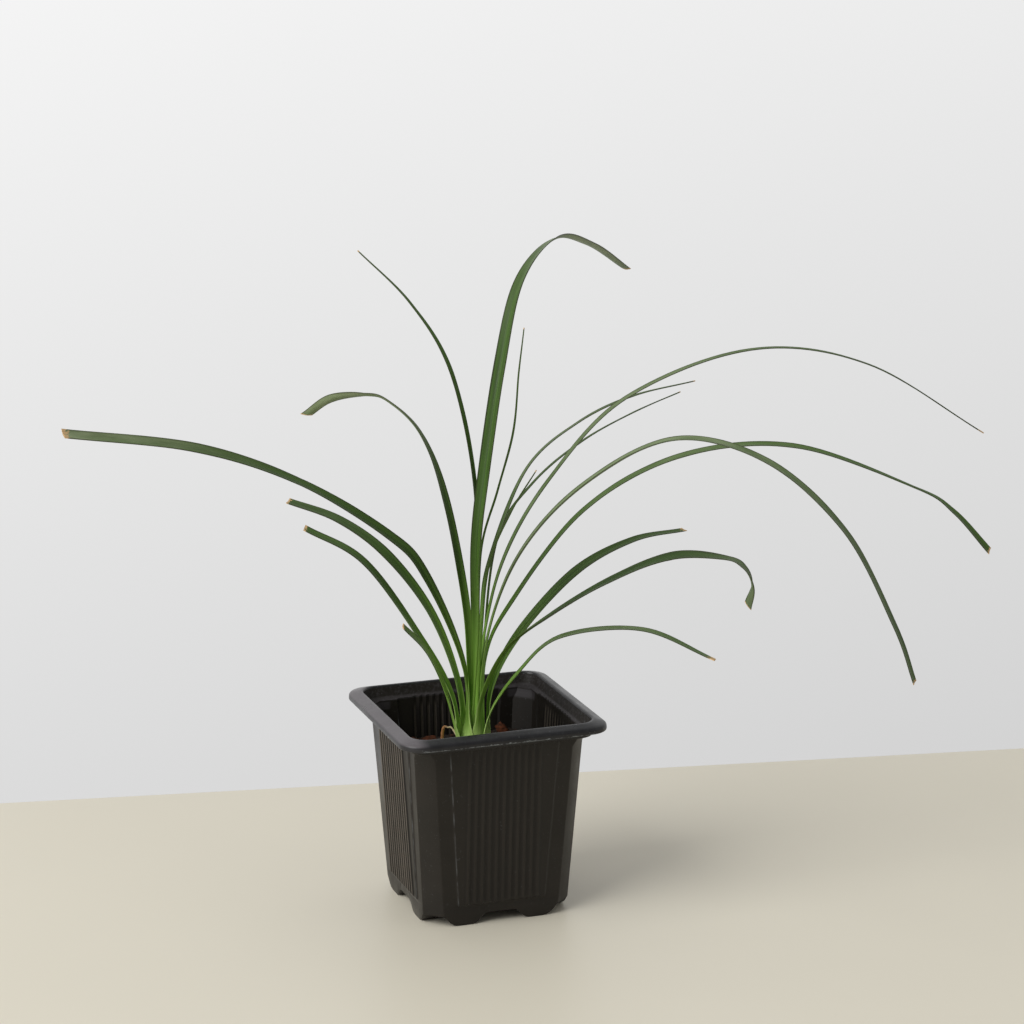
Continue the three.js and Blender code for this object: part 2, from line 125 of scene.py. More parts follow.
# Each leaf: the bearing it arches along, the bearing of its root, its ring, how far out its sheath
# lies, blade width, share of the width at the tip, how the root's sideways offset fades, length of
# the dried tip, painted sheen as [place along the leaf, spread, strength], and its path as [reach, height,
# roll]
Leaf = namedtuple("Leaf", "turn root_turn ring layer width tip fading dried bloom path")
FADING = (0.55, 0.2)
LEAVES = {
    "leaf_left_long": Leaf(
        186, 224, OUTER, 2, 5.6, 0.85, FADING, 1.2, (1, 0.25, 1),
        [
            (6.8, 116, -50), (25.2, 161, -60), (43, 181.5, -48),
            (85, 210, -30), (133, 230.5, -46), (194.5, 243, -45),
        ],
    ),
    "leaf_left_middle": Leaf(
        126, 103, OUTER, 1, 5.2, 0.8, FADING, 1.2, (0.9, 0.2, 0.12),
        [(11, 105, 0), (25.6, 136, -5), (50, 160, -23), (78, 173, -23), (109, 178, -20)],
    ),
    "leaf_left_low": Leaf(
        146, 143, OUTER, 0, 4.8, 0.8, FADING, 1.2, (0.9, 0.2, 0.12),
        [(11.3, 99, -8), (26.6, 126, -10), (53, 160.5, -20), (82, 175, -22)],
    ),
    "leaf_left_short": Leaf(
        206, 184, OUTER, 1, 4.6, 0.6, FADING, 1.2, (0.9, 0.3, 0.3),
        [(17, 104, -50), (30, 127, -55), (45, 142, -60)],
    ),
    "leaf_left_arching": Leaf(
        131, 176, INNER, 0, 5, 0.8, FADING, 1.5, (0.95, 0.25, 1.1),
        [
            (1.8, 111, -22), (4.4, 145, -24), (15.3, 193, -6), (28.1, 221.5, 22),
            (45.3, 235, 27), (57.5, 236.8, 25), (77, 233.3, 62), (91, 224, 54),
        ],
    ),
    "leaf_left_needle": Leaf(
        116, 80, OUTER, 0, 2.4, 0.2, (1.45, 2.15, 0.8), 2, (1, 0.2, 0.2),
        [(6, 140, 0), (8, 196, 0), (17, 250, 0), (40, 280, 0), (76, 301, 0)],
    ),
    "leaf_centre_wide": Leaf(
        45, 71, MIDDLE, 0, 6.2, 0.8, (0.8, 0.3), 0.8, (0.88, 0.18, 1.15),
        [
            (6, 131, 0), (5, 170, 0), (13, 205, 0), (30, 252, 0),
            (51, 287.5, -16), (90, 302, -26), (132, 293, -9), (174, 275, 1),
        ],
    ),
    "leaf_centre_needle": Leaf(
        -69, 236, MIDDLE, 0, 1.2, 0.3, FADING, 0, (1, 0.2, 0.2),
        [(6, 129, 0), (7, 171, 0), (18, 201, 0), (29, 230, 0), (33, 258, 0), (36.6, 279, 0)],
    ),
    "leaf_right_upper": Leaf(
        16, 16, MIDDLE, 0, 3.2, 0.2, FADING, 1, (0.7, 0.3, 0.5),
        [(5, 138, 0), (11, 166, 0), (31, 204, -18), (60, 222, -12), (92, 231, 5), (130, 234, 0)],
    ),
    "leaf_right_thread": Leaf(
        33, 40, OUTER, 0, 1.4, 0.4, FADING, 0.5, (0.7, 0.3, 0.2),
        [(9, 125, 0), (19, 172, 0), (46, 193, 0), (84, 206, 0), (125, 213, 0), (167, 217, 0)],
    ),
    "leaf_right_young": Leaf(
        -64, 263, MIDDLE, 0, 1.4, 0.4, (0.2, 0.1), 0.5, (0.8, 0.3, 0.2),
        [(6, 130, 0), (11, 165, 0), (25, 192, 0), (41, 214, 0)],
    ),
    "leaf_right_long": Leaf(
        -7, 301, INNER, 0, 3.4, 0.25, FADING, 5, (0.5, 0.26, 0.65),
        [
            (4, 121, 7), (15, 165, 7), (38, 203, 7), (73, 238, 9),
            (132, 258, 7), (189, 249, 7), (248, 213, 7),
        ],
    ),
    "leaf_right_drooping": Leaf(
        -45, 293, MIDDLE, 1, 5, 0.85, FADING, 0.8, (0.48, 0.42, 0.76),
        [
            (8, 128, 30), (25, 171, 27), (57, 206.5, 19), (100, 231, 11),
            (144, 225.5, 8), (181, 198, 2), (205, 158, 0), (215, 133, 0),
        ],
    ),
    "leaf_right_far": Leaf(
        -21, 336, MIDDLE, 1, 4.5, 0.85, FADING, 1.2, (0.55, 0.2, 0.4),
        [
            (6, 118, 15), (18.5, 145, 18), (51.5, 188.5, 15), (95, 214, 15),
            (147, 219.2, 15), (203, 200, -4), (221, 188.8, 20), (238, 170.2, 38),
        ],
    ),
    "leaf_right_middle": Leaf(
        6, 349, OUTER, 1, 5, 0.75, FADING, 3, (0.8, 0.2, 0.15),
        [(9, 102, 6), (24, 127, 20), (53, 153, 26), (83, 165, 15), (111, 167, 8)],
    ),
    "leaf_right_curled": Leaf(
        -67, 267, OUTER, 3, 5, 0.7, FADING, 0.8, (1, 0.12, 0.6),
        [
            (8, 99, 8), (24.5, 127, 10), (54, 149.5, 28), (93, 173.5, 38),
            (130, 191, 42), (162, 196, 5), (172.5, 194, -16), (177.3, 187.5, -54), (175, 178, -112),
        ],
    ),
    "leaf_right_low": Leaf(
        -54, 311, OUTER, 1, 4, 0.7, FADING, 6, (0.65, 0.25, 0.55),
        [(9.5, 92, 30), (25.5, 114.5, 30), (49, 135.5, 24), (93, 146, 14), (131, 138, -5)],
    ),
}

# How a leaf is laid out: sections in its sheath and in each span of its path, cells across, height
# from one layer of sheaths to the next, its least width, where the sheath opens into the blade, and
# where and by how much the channel grows flatter
SHEATH_SECTIONS, SPAN_SECTIONS, CELLS_ACROSS = 9, 14, 12
LAYER = 0.42
LEAST_WIDTH = 0.38
OPENS = (2, 17)
FLATTENS, FLATTER = (0.2, 0.9), 0.45
BLADE_FOOT, WIDEST_FROM, WIDEST_TO = 0.6, 0.42, 0.6  # share of the width at the foot, then of the length

# How far a tip is cut aslant, as a share of the leaf's width; the others are cut nearly square
NEARLY_SQUARE = 0.22
ASLANT = {"leaf_left_arching": -1, "leaf_right_curled": 0.8}

# Leaves drawn darker than the rest, -1 for the darkest
DARKENED_LEAVES = {"leaf_right_curled": -0.9, "leaf_left_middle": -0.5, "leaf_right_middle": -0.25}

DRY_LEAF_TURN = 165
DRY_LEAF_PATH = [
    (6.2, 75.2), (7.7, 79), (9.3, 82.2), (10.9, 84.1), (12.4, 84.1), (13.8, 84.3),
    (14.6, 82), (14.8, 78.5), (15.2, 74.5), (15.8, 70.8),
]

# The camera, from the pot's axis, with its own right, up and backward directions
CAMERA_PLACE = Vector((-457.3953, -1360.0527, 537.2025))
CAMERA_AXES = ((0.9438, -0.3306, -0.0022), (0.0803, 0.2227, 0.9716), (-0.3207, -0.9171, 0.2368))
CAMERA_LENS = 112.5


# Sizes and colours


def length(name, description, default):
    return FloatProperty(
        name=name, description=description, default=default, unit="LENGTH", subtype="DISTANCE",
        precision=4, min=0,
    )


def amount(name, description, default, **limits):
    return FloatProperty(name=name, description=description, default=default, min=0, **limits)


def count(name, description, default, **limits):
    return IntProperty(name=name, description=description, default=default, **limits)


def colour(name, description, default):
    return FloatVectorProperty(
        name=name, description=description, default=default, size=3, min=0, max=1, subtype="COLOR",
    )


class PotSettings(bpy.types.PropertyGroup):
    half_at_table: length("Half width at table", "From the axis to a wall, level with the table", 0.03535)
    taper: amount("Taper", "How far a wall leans out for each unit of height", 0.067, max=0.3)
    chamfer: length("Chamfer", "How much of each face the cut corners take", 0.0077)
    wall_thickness: length("Wall thickness", "Thickness of the moulded plastic", 0.0011)
    rib_pitch: length("Rib pitch", "From one rib's crest to the next", 0.0034)
    rib_height: length("Rib height", "How far a rib stands out of its panel", 0.00085)
    ribs: count("Ribs", "Ribs on each face, an odd number", 11, min=1, max=15)
    margin: length("Margin", "From a cut corner to the ribbed panel", 0.0065)
    panel_step: length("Panel step", "Width of the slope round the ribbed panel", 0.001)
    panel_rise: length("Panel rise", "How far the ribbed panel stands out of its face", 0.0008)
    plastic: colour("Plastic", "Colour of the moulded plastic", (0.0150, 0.0125, 0.0100))
    # The rim's plastic, with a cool cast that is partly painted reflection of the pale room
    rim_tint_with_painted_reflection: colour("Rim", "Colour of the plastic on the rim", (0.0120, 0.0118, 0.0135))
    # A pale tint: the paler left side of the rim's top, pale grains in the collar, and painted light on the
    # collar's ledge and corner flares
    pale_and_painted_light: colour("Faded rim", "Colour of the rim's sun-faded side", (0.108, 0.098, 0.104))
    # Scuffs and dust, and also the painted highlights along the rim's lower edge and the panels' edges
    scuff_dust_and_painted_highlight: colour("Scuffs", "Colour of scuffed edges and dust", (0.20, 0.215, 0.225))


class MixSettings(bpy.types.PropertyGroup):
    level: length("Level", "Height of the mix above the table", 0.0685)
    clearance: length("Clearance", "From the outside of the wall to the mix", 0.0014)
    chips: count("Bark chips", "How many pieces of bark lie on the mix", 60, min=0)
    crumbs: count("Crumbs", "How many small crumbs lie on the mix", 420, min=0)
    earth: colour("Mix", "Colour of the fine mix", (0.012, 0.0075, 0.005))
    bark: colour("Bark", "Colour of the bark chips", (0.125, 0.035, 0.0125))


class PlantSettings(bpy.types.PropertyGroup):
    thickness: length("Leaf thickness", "Thickness of a leaf along its middle", 0.00055)
    channel: amount("Channel", "How deep a leaf is folded, as a share of its width", 0.19, max=0.4)
    green: colour("Leaf", "Colour of a grown leaf", (0.0355, 0.077, 0.0108))
    young_green: colour("Young leaf", "Colour of a leaf near the crown", (0.300, 0.565, 0.080))
    pale_green: colour("Sheath", "Colour of the clasping leaf bases", (0.56, 0.79, 0.235))
    underside: colour("Underside", "Colour of the back of a leaf", (0.084, 0.138, 0.045))
    # Painted sheen: the older leaf ends are drawn paler where they would reflect the bright room
    bloom: colour("Bloom", "Colour of the waxy bloom on older leaf ends", (0.245, 0.297, 0.168))
    # Painted shade: the leaves are drawn darker towards their margins, where the edges curve away from the
    # light
    margin: colour("Margins", "Colour of a leaf's thick margins", (0.026, 0.027, 0.009))
    dried: colour("Dried tip", "Colour of a leaf's dried tip", (0.55, 0.37, 0.19))
    dead_leaf: colour("Dead leaf", "Colour of the withered leaf remnant", (0.74, 0.60, 0.40))


class StudioSettings(bpy.types.PropertyGroup):
    floor: colour("Floor", "Colour of the plain floor", (0.70, 0.655, 0.54))
    backdrop: colour("Backdrop", "Colour behind and above the floor", (0.80, 0.80, 0.80))
    front_share: amount("Front of room", "Brightness as a share of the back", 0.32, max=1, subtype="FACTOR")
    ceiling_share: amount("Ceiling", "Brightness as a share of the wall", 0.78, max=1, subtype="FACTOR")
    key_power: amount("Key light", "Power of the soft light on the left", 84)
    fill_power: amount("Fill light", "Power of the light on the right", 2)


# Modelling by hand


def clear_selection():
    if bpy.context.mode != "OBJECT":
        bpy.ops.object.mode_set(mode="OBJECT")
    bpy.ops.object.select_all(action="DESELECT")


def take(piece):
    clear_selection()
    piece.select_set(True)
    bpy.context.view_layer.objects.active = piece


def named(name):
    piece = bpy.context.active_object
    piece.name = name
    piece.data.name = name
    return piece


def freeze():
    bpy.ops.object.transform_apply(location=True, rotation=True, scale=True)


def open_mesh(piece):
    """Goes into edit mode on one piece, with nothing of it selected."""
    take(piece)
    bpy.ops.object.mode_set(mode="EDIT")
    start_picking("VERT")


def close_mesh():
    bpy.ops.object.mode_set(mode="OBJECT")


def start_picking(kind):
    bpy.ops.mesh.select_mode(type=kind)
    bpy.ops.mesh.select_all(action="DESELECT")


def pick_all():
    bpy.ops.mesh.select_all(action="SELECT")


def pick_corners(piece, test):
    """Selects the vertices whose place passes the test, in edit mode."""
    start_picking("VERT")
    shape = bmesh.from_edit_mesh(piece.data)
    for corner in shape.verts:
        if test(corner.co):
            corner.select_set(True)
    shape.select_flush(True)
    bmesh.update_edit_mesh(piece.data)


def pick_edges(piece, test):
    """Selects the edges that pass the test, in edit mode."""
    start_picking("EDGE")
    shape = bmesh.from_edit_mesh(piece.data)
    for edge in shape.edges:
        if test(edge):
            edge.select_set(True)
    bmesh.update_edit_mesh(piece.data)


def shift(x, y, z):
    bpy.ops.transform.translate(value=(x, y, z))


def stretch(x, y, z, **options):
    bpy.ops.transform.resize(value=(x, y, z), **options)


def extrude(x, y, z):
    bpy.ops.mesh.extrude_region_move(TRANSFORM_OT_translate={"value": (x, y, z)})


def cut_across(point, normal, **options):
    pick_all()
    bpy.ops.mesh.bisect(plane_co=point, plane_no=normal, threshold=1e-7, **options)


def repeat_round():
    """Copies the whole mesh to the other three sides of the axis."""
    pick_all()
    bpy.ops.mesh.spin(steps=3, dupli=True, angle=math.radians(270), center=(0, 0, 0), axis=(0, 0, 1))


def outwards(piece):
    open_mesh(piece)
    pick_all()
    bpy.ops.mesh.remove_doubles(threshold=1e-6)
    bpy.ops.mesh.normals_make_consistent(inside=False)
    close_mesh()


def finish_with(piece, kind, **settings):
    take(piece)
    modifier = piece.modifiers.new(kind.title(), kind)
    for name, value in settings.items():
        setattr(modifier, name, value)
    bpy.ops.object.modifier_apply(modifier=modifier.name)


def round_edges(piece, width, degrees, segments=2):
    finish_with(
        piece, "BEVEL", width=width * MM, segments=segments, limit_method="ANGLE",
        angle_limit=math.radians(degrees),
    )


def roughen(piece, name, size, depth, **settings):
    """Pushes the surface in and out by a cloudy pattern, with its size and depth in millimetres."""
    texture = bpy.data.textures.new(name, "CLOUDS")
    texture.noise_scale = size * MM
    finish_with(
        piece, "DISPLACE", texture=texture, strength=depth * MM, mid_level=0.5, texture_coords="GLOBAL",
        **settings,
    )
    bpy.data.textures.remove(texture)


def combine(piece, other, operation):
    finish_with(piece, "BOOLEAN", operation=operation, solver="EXACT", object=other)
    bpy.data.objects.remove(other, do_unlink=True)


def own_copy(piece, name):
    copy = piece.copy()
    copy.data = piece.data.copy()
    copy.name = name
    bpy.context.collection.objects.link(copy)
    return copy


def write_values(piece, name, values, kind="FLOAT"):
    attribute = piece.data.attributes.new(name, kind, "POINT")
    attribute.data.foreach_set("value" if kind == "FLOAT" else "vector", values)


def settle(piece, degrees):
    """Smooths a finished piece and moves it to its place, with its object left at the origin."""
    take(piece)
    bpy.ops.object.shade_smooth_by_angle(angle=math.radians(degrees))
    freeze()
    piece.location = POT_AXIS
    freeze()


def ease(low, high, value):
    share = min(max((value - low) / (high - low), 0), 1)
    return share * share * (3 - 2 * share)


# Finishes


class Finish:
    """A material built up from nodes, one call for each."""

    def __init__(self, name):
        self.material = bpy.data.materials.new(name)
        self.material.use_nodes = True
        self.tree = self.material.node_tree
        self.place = self.add("ShaderNodeTexCoord").outputs["Object"]

    def add(self, kind, **settings):
        node = self.tree.nodes.new(kind)
        for name, value in settings.items():
            setattr(node, name, value)
        return node

    def feed(self, node, **values):
        """Gives each named input of a node another node's output, a number or a colour."""
        for name, value in values.items():
            self.join(node.inputs[name.replace("_", " ")], value)

    def join(self, socket, value):
        if isinstance(value, bpy.types.NodeSocket):
            self.tree.links.new(value, socket)
        elif socket.type == "RGBA":
            socket.default_value = (*value, 1)
        else:
            socket.default_value = value

    def stretched(self, where, scale, move=(0, 0, 0)):
        node = self.add("ShaderNodeMapping")
        self.feed(node, Vector=where, Scale=scale, Location=move)
        return node.outputs["Vector"]

    def noise(self, where, scale, detail=4.0, roughness=0.55):
        node = self.add("ShaderNodeTexNoise")
        self.feed(node, Vector=where, Scale=scale, Detail=detail, Roughness=roughness)
        return node.outputs["Fac"]

    def maths(self, operation, *values):
        node = self.add("ShaderNodeMath", operation=operation)
        for socket, value in zip(node.inputs, values):
            self.join(socket, value)
        return node.outputs[0]

    def times(self, first, *others):
        for other in others:
            first = self.maths("MULTIPLY", first, other)
        return first

    def plus(self, first, second):
        return self.maths("ADD", first, second)

    def ramp(self, value, start, end, low=0.0, high=1.0):
        """Goes evenly from low to high while the value goes from start to end, and stays there."""
        node = self.add("ShaderNodeMapRange", clamp=True)
        self.feed(node, Value=value, From_Min=start, From_Max=end, To_Min=low, To_Max=high)
        return node.outputs["Result"]

    def parts(self, where):
        node = self.add("ShaderNodeSeparateXYZ")
        self.join(node.inputs[0], where)
        return node.outputs

    def blend(self, share, first, second):
        node = self.add("ShaderNodeMix", data_type="RGBA")
        for number, value in ((0, share), (6, first), (7, second)):
            self.join(node.inputs[number], value)
        return node.outputs[2]

    def shades(self, pattern, start, end, tint, dark, light):
        """Two shades of a tint, the lighter one where the pattern is high."""
        return self.blend(self.ramp(pattern, start, end), darker(tint, dark), darker(tint, light))

    def attribute(self, name, output="Fac"):
        return self.add("ShaderNodeAttribute", attribute_name=name).outputs[output]

    def bumps(self, height, distance, strength=1.0, under=None):
        node = self.add("ShaderNodeBump")
        self.feed(node, Height=height, Distance=distance, Strength=strength)
        if under is not None:
            self.feed(node, Normal=under)
        return node.outputs["Normal"]

    def done(self, base, roughness, relief, specular=0.5):
        shader = self.tree.nodes["Principled BSDF"]
        self.feed(shader, Base_Color=base, Roughness=roughness, Normal=relief, Specular_IOR_Level=specular)
        return self.material


def darker(tint, share):
    return tuple(part * share for part in tint)


# Each part of the pot: its roughness from and to, its specular level, and away from the left face how
# dark the painted shade in the grooves is, how much the painted highlight on the crests shows, and how pale
# it is
PLASTICS = {
    "wall": (0.28, 0.44, 0.26, 0.25, 0.35, 2.2),
    "rim": (0.26, 0.40, 0.38, 0.25, 0.35, 2.2),
    "inside": (0.50, 0.65, 0.14, 0.60, 0.90, 5),
}
# Painted highlight: the crests of the left face are drawn paler where the light grazes them
LEFT_CREST_HIGHLIGHT = 8.6  # how pale the crests are in the left face, where the light grazes them
RIM_STARTS = (0.0885, 0.0895)


class MouldedPlastic(Finish):
    """The matt plastic of the wall or of its inside, or the glossier plastic of the handled rim."""

    def __init__(self, pot, part):
        super().__init__(f"moulded plastic, {part}")
        self.pot, self.part = pot, part
        self.centred = self.stretched(self.place, (1, 1, 1), -POT_AXIS)
        self.x, y, self.height = self.parts(self.centred)
        sides = self.maths("ABSOLUTE", self.x), self.maths("ABSOLUTE", y)
        self.reach, self.beside = self.maths("MAXIMUM", *sides), self.maths("MINIMUM", *sides)
        self.towards_corner = self.plus(*sides)
        self.mottle = self.noise(self.centred, 38, 5, 0.6)
        self.streaks = self.noise(self.stretched(self.centred, (260, 260, 22)), 1, 3, 0.7)
        self.on_rim = self.ramp(self.height, *RIM_STARTS)
        self.on_wall = self.times(
            self.ramp(self.height, 0.083, 0.086, 1, 0), self.ramp(self.height, 0.0100, 0.0125),
        )

    def made(self):
        smoothest, roughest, specular, *rib_shade_and_highlight = PLASTICS[self.part]
        if self.part == "rim":
            base = self.paler_on_left()
        else:
            base = self.shades(self.mottle, 0.35, 0.7, self.pot.plastic, 0.82, 1.3)
        if self.part == "inside":
            base = self.mottled_collar_and_painted_light(base)
        base = self.dusty(base)
        base = self.scuffed_edge_with_painted_highlight(base)
        base = self.painted_panel_edge_highlight(base)
        base, painted_groove_shade = self.painted_rib_shade_and_highlight(base, *rib_shade_and_highlight)
        rough = self.ramp(self.mottle, 0.35, 0.65, smoothest, roughest)
        rough = self.plus(rough, self.ramp(self.streaks, 0, 1, -0.04, 0.06))
        rough = self.plus(rough, self.times(painted_groove_shade, 0.3))
        grain = self.bumps(self.noise(self.centred, 1500, 2), 0.00006, 0.5)
        return self.done(base, rough, self.bumps(self.streaks, 0.00012, 0.4, grain), specular)

    def paler_on_left(self):
        """The rim's own tint, paler on the left side of its top."""
        worn = self.noise(self.centred, 85, 5, 0.65)
        # The rim's tint carries a cool cast of painted reflection
        base = self.shades(worn, 0.38, 0.66, self.pot.rim_tint_with_painted_reflection, 0.6, 1.35)
        left_side = self.ramp(self.x, -0.0440, -0.0370, 1, -0.3)
        patchy = self.plus(left_side, self.ramp(self.mottle, 0.35, 0.65, -0.2, 0.2))
        pale_and_painted_light = self.times(self.ramp(patchy, 0, 1), self.ramp(self.height, 0.0926, 0.0935, 0.1, 1))
        return self.blend(pale_and_painted_light, base, self.pot.pale_and_painted_light)

    def mottled_collar_and_painted_light(self, base):
        """Pale grains above the ledge, and painted light that makes the ledge and the corner flares paler,
        where they catch the light.
        """
        grains = self.ramp(self.noise(self.centred, 620, 4, 0.7), 0.48, 0.68)
        mottled = self.times(self.ramp(self.height, 0.0882, 0.0886, 0, 0.6), grains)
        base = self.blend(mottled, base, darker(self.pot.pale_and_painted_light, 0.5))
        # Painted light: the ledge and the corner flares are drawn paler
        ledge = self.times(
            self.ramp(self.height, 0.0880, 0.0884, 0, 0.5), self.ramp(self.height, 0.0896, 0.0902, 1, 0),
        )
        flare = self.times(
            self.ramp(self.height, 0.0836, 0.0846, 0, 0.8), self.ramp(self.towards_corner, 0.0690, 0.0705),
            self.ramp(self.height, 0.0876, 0.0880, 1, 0),
        )
        return self.blend(self.maths("MAXIMUM", ledge, flare), base, darker(self.pot.pale_and_painted_light, 0.45))

    def dusty(self, base):
        specks = self.ramp(self.noise(self.centred, 900, 2, 0.5), 0.66, 0.76)
        dust = self.times(
            specks, self.ramp(self.streaks, 0.4, 0.7, 0.15, 0.8), self.ramp(self.on_rim, 0, 1, 0.3, 0.7),
        )
        return self.blend(dust, base, self.pot.scuff_dust_and_painted_highlight)

    def scuffed_edge_with_painted_highlight(self, base):
        """A ragged pale line along the lower edge of the rim's skirt: scuffs, with a painted highlight along
        the edge.
        """
        top_of_scuffs_and_highlight = self.ramp(self.noise(self.centred, 330, 6, 0.75), 0.42, 0.72, 0.0905, 0.0920)
        below = self.maths("SUBTRACT", top_of_scuffs_and_highlight, self.height)
        chips = self.times(
            self.ramp(below, -0.0001, 0.0004, 0, 0.75), self.ramp(self.reach, 0.0488, 0.0492), self.on_rim,
        )
        return self.blend(chips, base, self.pot.scuff_dust_and_painted_highlight)

    def painted_panel_edge_highlight(self, base):
        """A painted highlight along the edges of the panels, strongest on the left, where the light falls.
        """
        pot = self.pot
        arris = self.maths("MULTIPLY_ADD", self.height, -pot.taper, self.beside)
        line = pot.half_at_table - pot.chamfer - pot.margin - pot.panel_step * 0.7
        away = self.maths("ABSOLUTE", self.maths("SUBTRACT", arris, line))
        patchy = self.noise(self.stretched(self.centred, (300, 300, 150)), 1, 5)
        # Painted highlight along the edge of each panel
        painted_panel_edge_highlight = self.times(
            self.ramp(away, 0.0001, 0.00035, 1, 0), self.ramp(patchy, 0.4, 0.68, 0, 0.38), self.on_wall,
            self.ramp(self.x, -0.005, 0.005, 1, 0.25),
        )
        return self.blend(painted_panel_edge_highlight, base, pot.scuff_dust_and_painted_highlight)

    def painted_rib_shade_and_highlight(self, base, groove_shade_share, crest_highlight_share, crest_highlight_paleness):
        """Painted shade in the grooves and painted highlights on the crests of the ribs, strongest in the
        left face.
        """
        pot = self.pot
        leftmost = self.ramp(self.x, -0.0325, -0.029, 1, 0)
        waves = self.maths("COSINE", self.times(self.beside, math.tau / pot.rib_pitch))
        crests = self.ramp(self.plus(waves, self.ramp(self.streaks, 0.3, 0.7, -0.25, 0.25)), 0.1, 1.2)
        last_rib, fade = pot.rib_pitch * pot.ribs / 2, pot.rib_pitch * 0.1
        on_ribs = self.times(self.ramp(self.beside, last_rib - fade, last_rib + fade, 1, 0), self.on_wall)
        # Painted shade: the grooves between the ribs are drawn darker
        painted_groove_shade = self.times(
            on_ribs, self.ramp(crests, 0, 0.45, 1, 0), self.ramp(leftmost, 0, 1, groove_shade_share, 0.9),
        )
        base = self.blend(painted_groove_shade, base, darker(pot.plastic, 0.2))
        # Painted highlight: the crests are drawn paler, most in the left face
        painted_crest_highlight = self.times(crests, on_ribs, self.ramp(leftmost, 0, 1, crest_highlight_share, 1))
        pale = self.blend(leftmost, darker(pot.plastic, crest_highlight_paleness), darker(pot.plastic, LEFT_CREST_HIGHLIGHT))
        return self.blend(painted_crest_highlight, base, pale), painted_groove_shade


def crumbly_mix(mix):
    finish = Finish("damp potting mix")
    coarse = finish.noise(finish.place, 180, 6, 0.65)
    fine = finish.noise(finish.place, 900, 4, 0.7)
    base = finish.shades(coarse, 0.4, 0.62, mix.earth, 0.55, 1.9)
    base = finish.blend(finish.ramp(fine, 0.55, 0.72, 0, 0.55), base, darker(mix.bark, 0.55))
    bumpy = finish.bumps(fine, 0.0006, 0.8, finish.bumps(coarse, 0.0012, 0.8))
    return finish.done(base, finish.ramp(coarse, 0, 1, 0.8, 0.97), bumpy, 0.3)


def flaky_bark(mix):
    finish = Finish("flaky pine bark")
    flakes = finish.noise(finish.stretched(finish.place, (1, 1, 2.4)), 330, 5, 0.65)
    layers = finish.noise(finish.stretched(finish.place, (0.5, 0.5, 4)), 420)
    base = finish.shades(flakes, 0.35, 0.68, mix.bark, 0.3, 1.5)
    base = finish.blend(finish.attribute("tone"), base, darker(mix.earth, 1.8))
    rugged = finish.bumps(flakes, 0.0008, 0.8, finish.bumps(layers, 0.0006, 0.7))
    return finish.done(base, finish.ramp(flakes, 0, 1, 0.72, 0.92), rugged, 0.15)


def leaf_finish(plant, name, base_tint, painted_sheen_share, smoothest, roughest, vein_depth):
    """A leaf's face or back: lengthwise veins, a pale foot, a dried tip, and small flecks."""
    finish = Finish(name)
    ramp, blend, shades = finish.ramp, finish.blend, finish.shades
    grain = finish.attribute("grain", "Vector")
    tone = finish.attribute("tone")
    veins = finish.noise(finish.stretched(grain, (0.008, 1.5, 1)), 1, 3, 0.65)
    fibres = finish.noise(finish.stretched(grain, (0.02, 4.5, 1)), 1, 2, 0.6)
    clouds = finish.noise(finish.stretched(grain, (0.06, 0.35, 1)), 1)
    flecks = finish.noise(finish.stretched(grain, (1.1, 2.6, 1)), 1, 2)
    blots = finish.noise(finish.stretched(grain, (0.9, 1.4, 1)), 1, 3)

    green = shades(veins, 0.36, 0.64, base_tint, 0.6, 1.5)
    green = blend(ramp(clouds, 0.45, 0.75, 0, 0.5), green, darker(base_tint, 1.5))
    green = blend(ramp(tone, 0, 1, 0, 0.16), green, darker(plant.young_green, 0.43))
    green = blend(ramp(tone, -1, 0, 0.5, 0), green, darker(base_tint, 0.1))
    # Painted sheen: paler where the leaf would reflect the bright room
    bloom = finish.times(finish.attribute("bloom"), ramp(clouds, 0.35, 0.65, 0.5, 1))
    green = blend(bloom, green, darker(plant.bloom, painted_sheen_share))
    # Painted shade: darker along the margins, where the edges curve away from the light
    edge = finish.plus(finish.attribute("margin"), ramp(fibres, 0.3, 0.7, -0.08, 0.08))
    green = blend(ramp(edge, 0.72, 0.98, 0, 0.75), green, plant.margin)

    fresh = shades(veins, 0.36, 0.64, plant.young_green, 0.62, 1.2)
    base = blend(finish.attribute("young"), green, fresh)
    clasping = shades(fibres, 0.35, 0.65, plant.pale_green, 0.62, 1)
    base = blend(finish.attribute("pale"), base, clasping)
    base = blend(finish.times(ramp(flecks, 0.72, 0.8), 0.5), base, darker(plant.dried, 0.75))
    dried = ramp(finish.plus(finish.attribute("dry"), ramp(blots, 0.3, 0.7, -0.35, 0.35)), 0.4, 0.62)
    base = blend(dried, base, shades(fibres, 0.3, 0.7, plant.dried, 0.6, 1.3))
    rough = finish.plus(ramp(clouds, 0.3, 0.7, smoothest, roughest), finish.times(dried, 0.25))
    return finish.done(base, rough, finish.bumps(veins, vein_depth, 0.6), 0.2)


def stem_finish(plant):
    finish = Finish("clasped stem foot")
    _, _, height = finish.parts(finish.place)
    fibres = finish.noise(finish.stretched(finish.place, (900, 900, 60)), 1, 3)
    patches = finish.noise(finish.place, 240, 5, 0.65)
    base = finish.shades(fibres, 0.35, 0.65, plant.pale_green, 0.6, 1)
    corky = finish.blend(patches, (0.10, 0.062, 0.032), (0.24, 0.17, 0.09))
    uneven = finish.plus(height, finish.ramp(patches, 0, 1, -0.0015, 0.0015))
    base = finish.blend(finish.ramp(uneven, 0.0685, 0.0715, 1, 0), base, corky)
    relief = finish.bumps(fibres, 0.0002, 0.7, finish.bumps(patches, 0.0004, 0.5))
    return finish.done(base, finish.ramp(fibres, 0, 1, 0.5, 0.75), relief, 0.4)


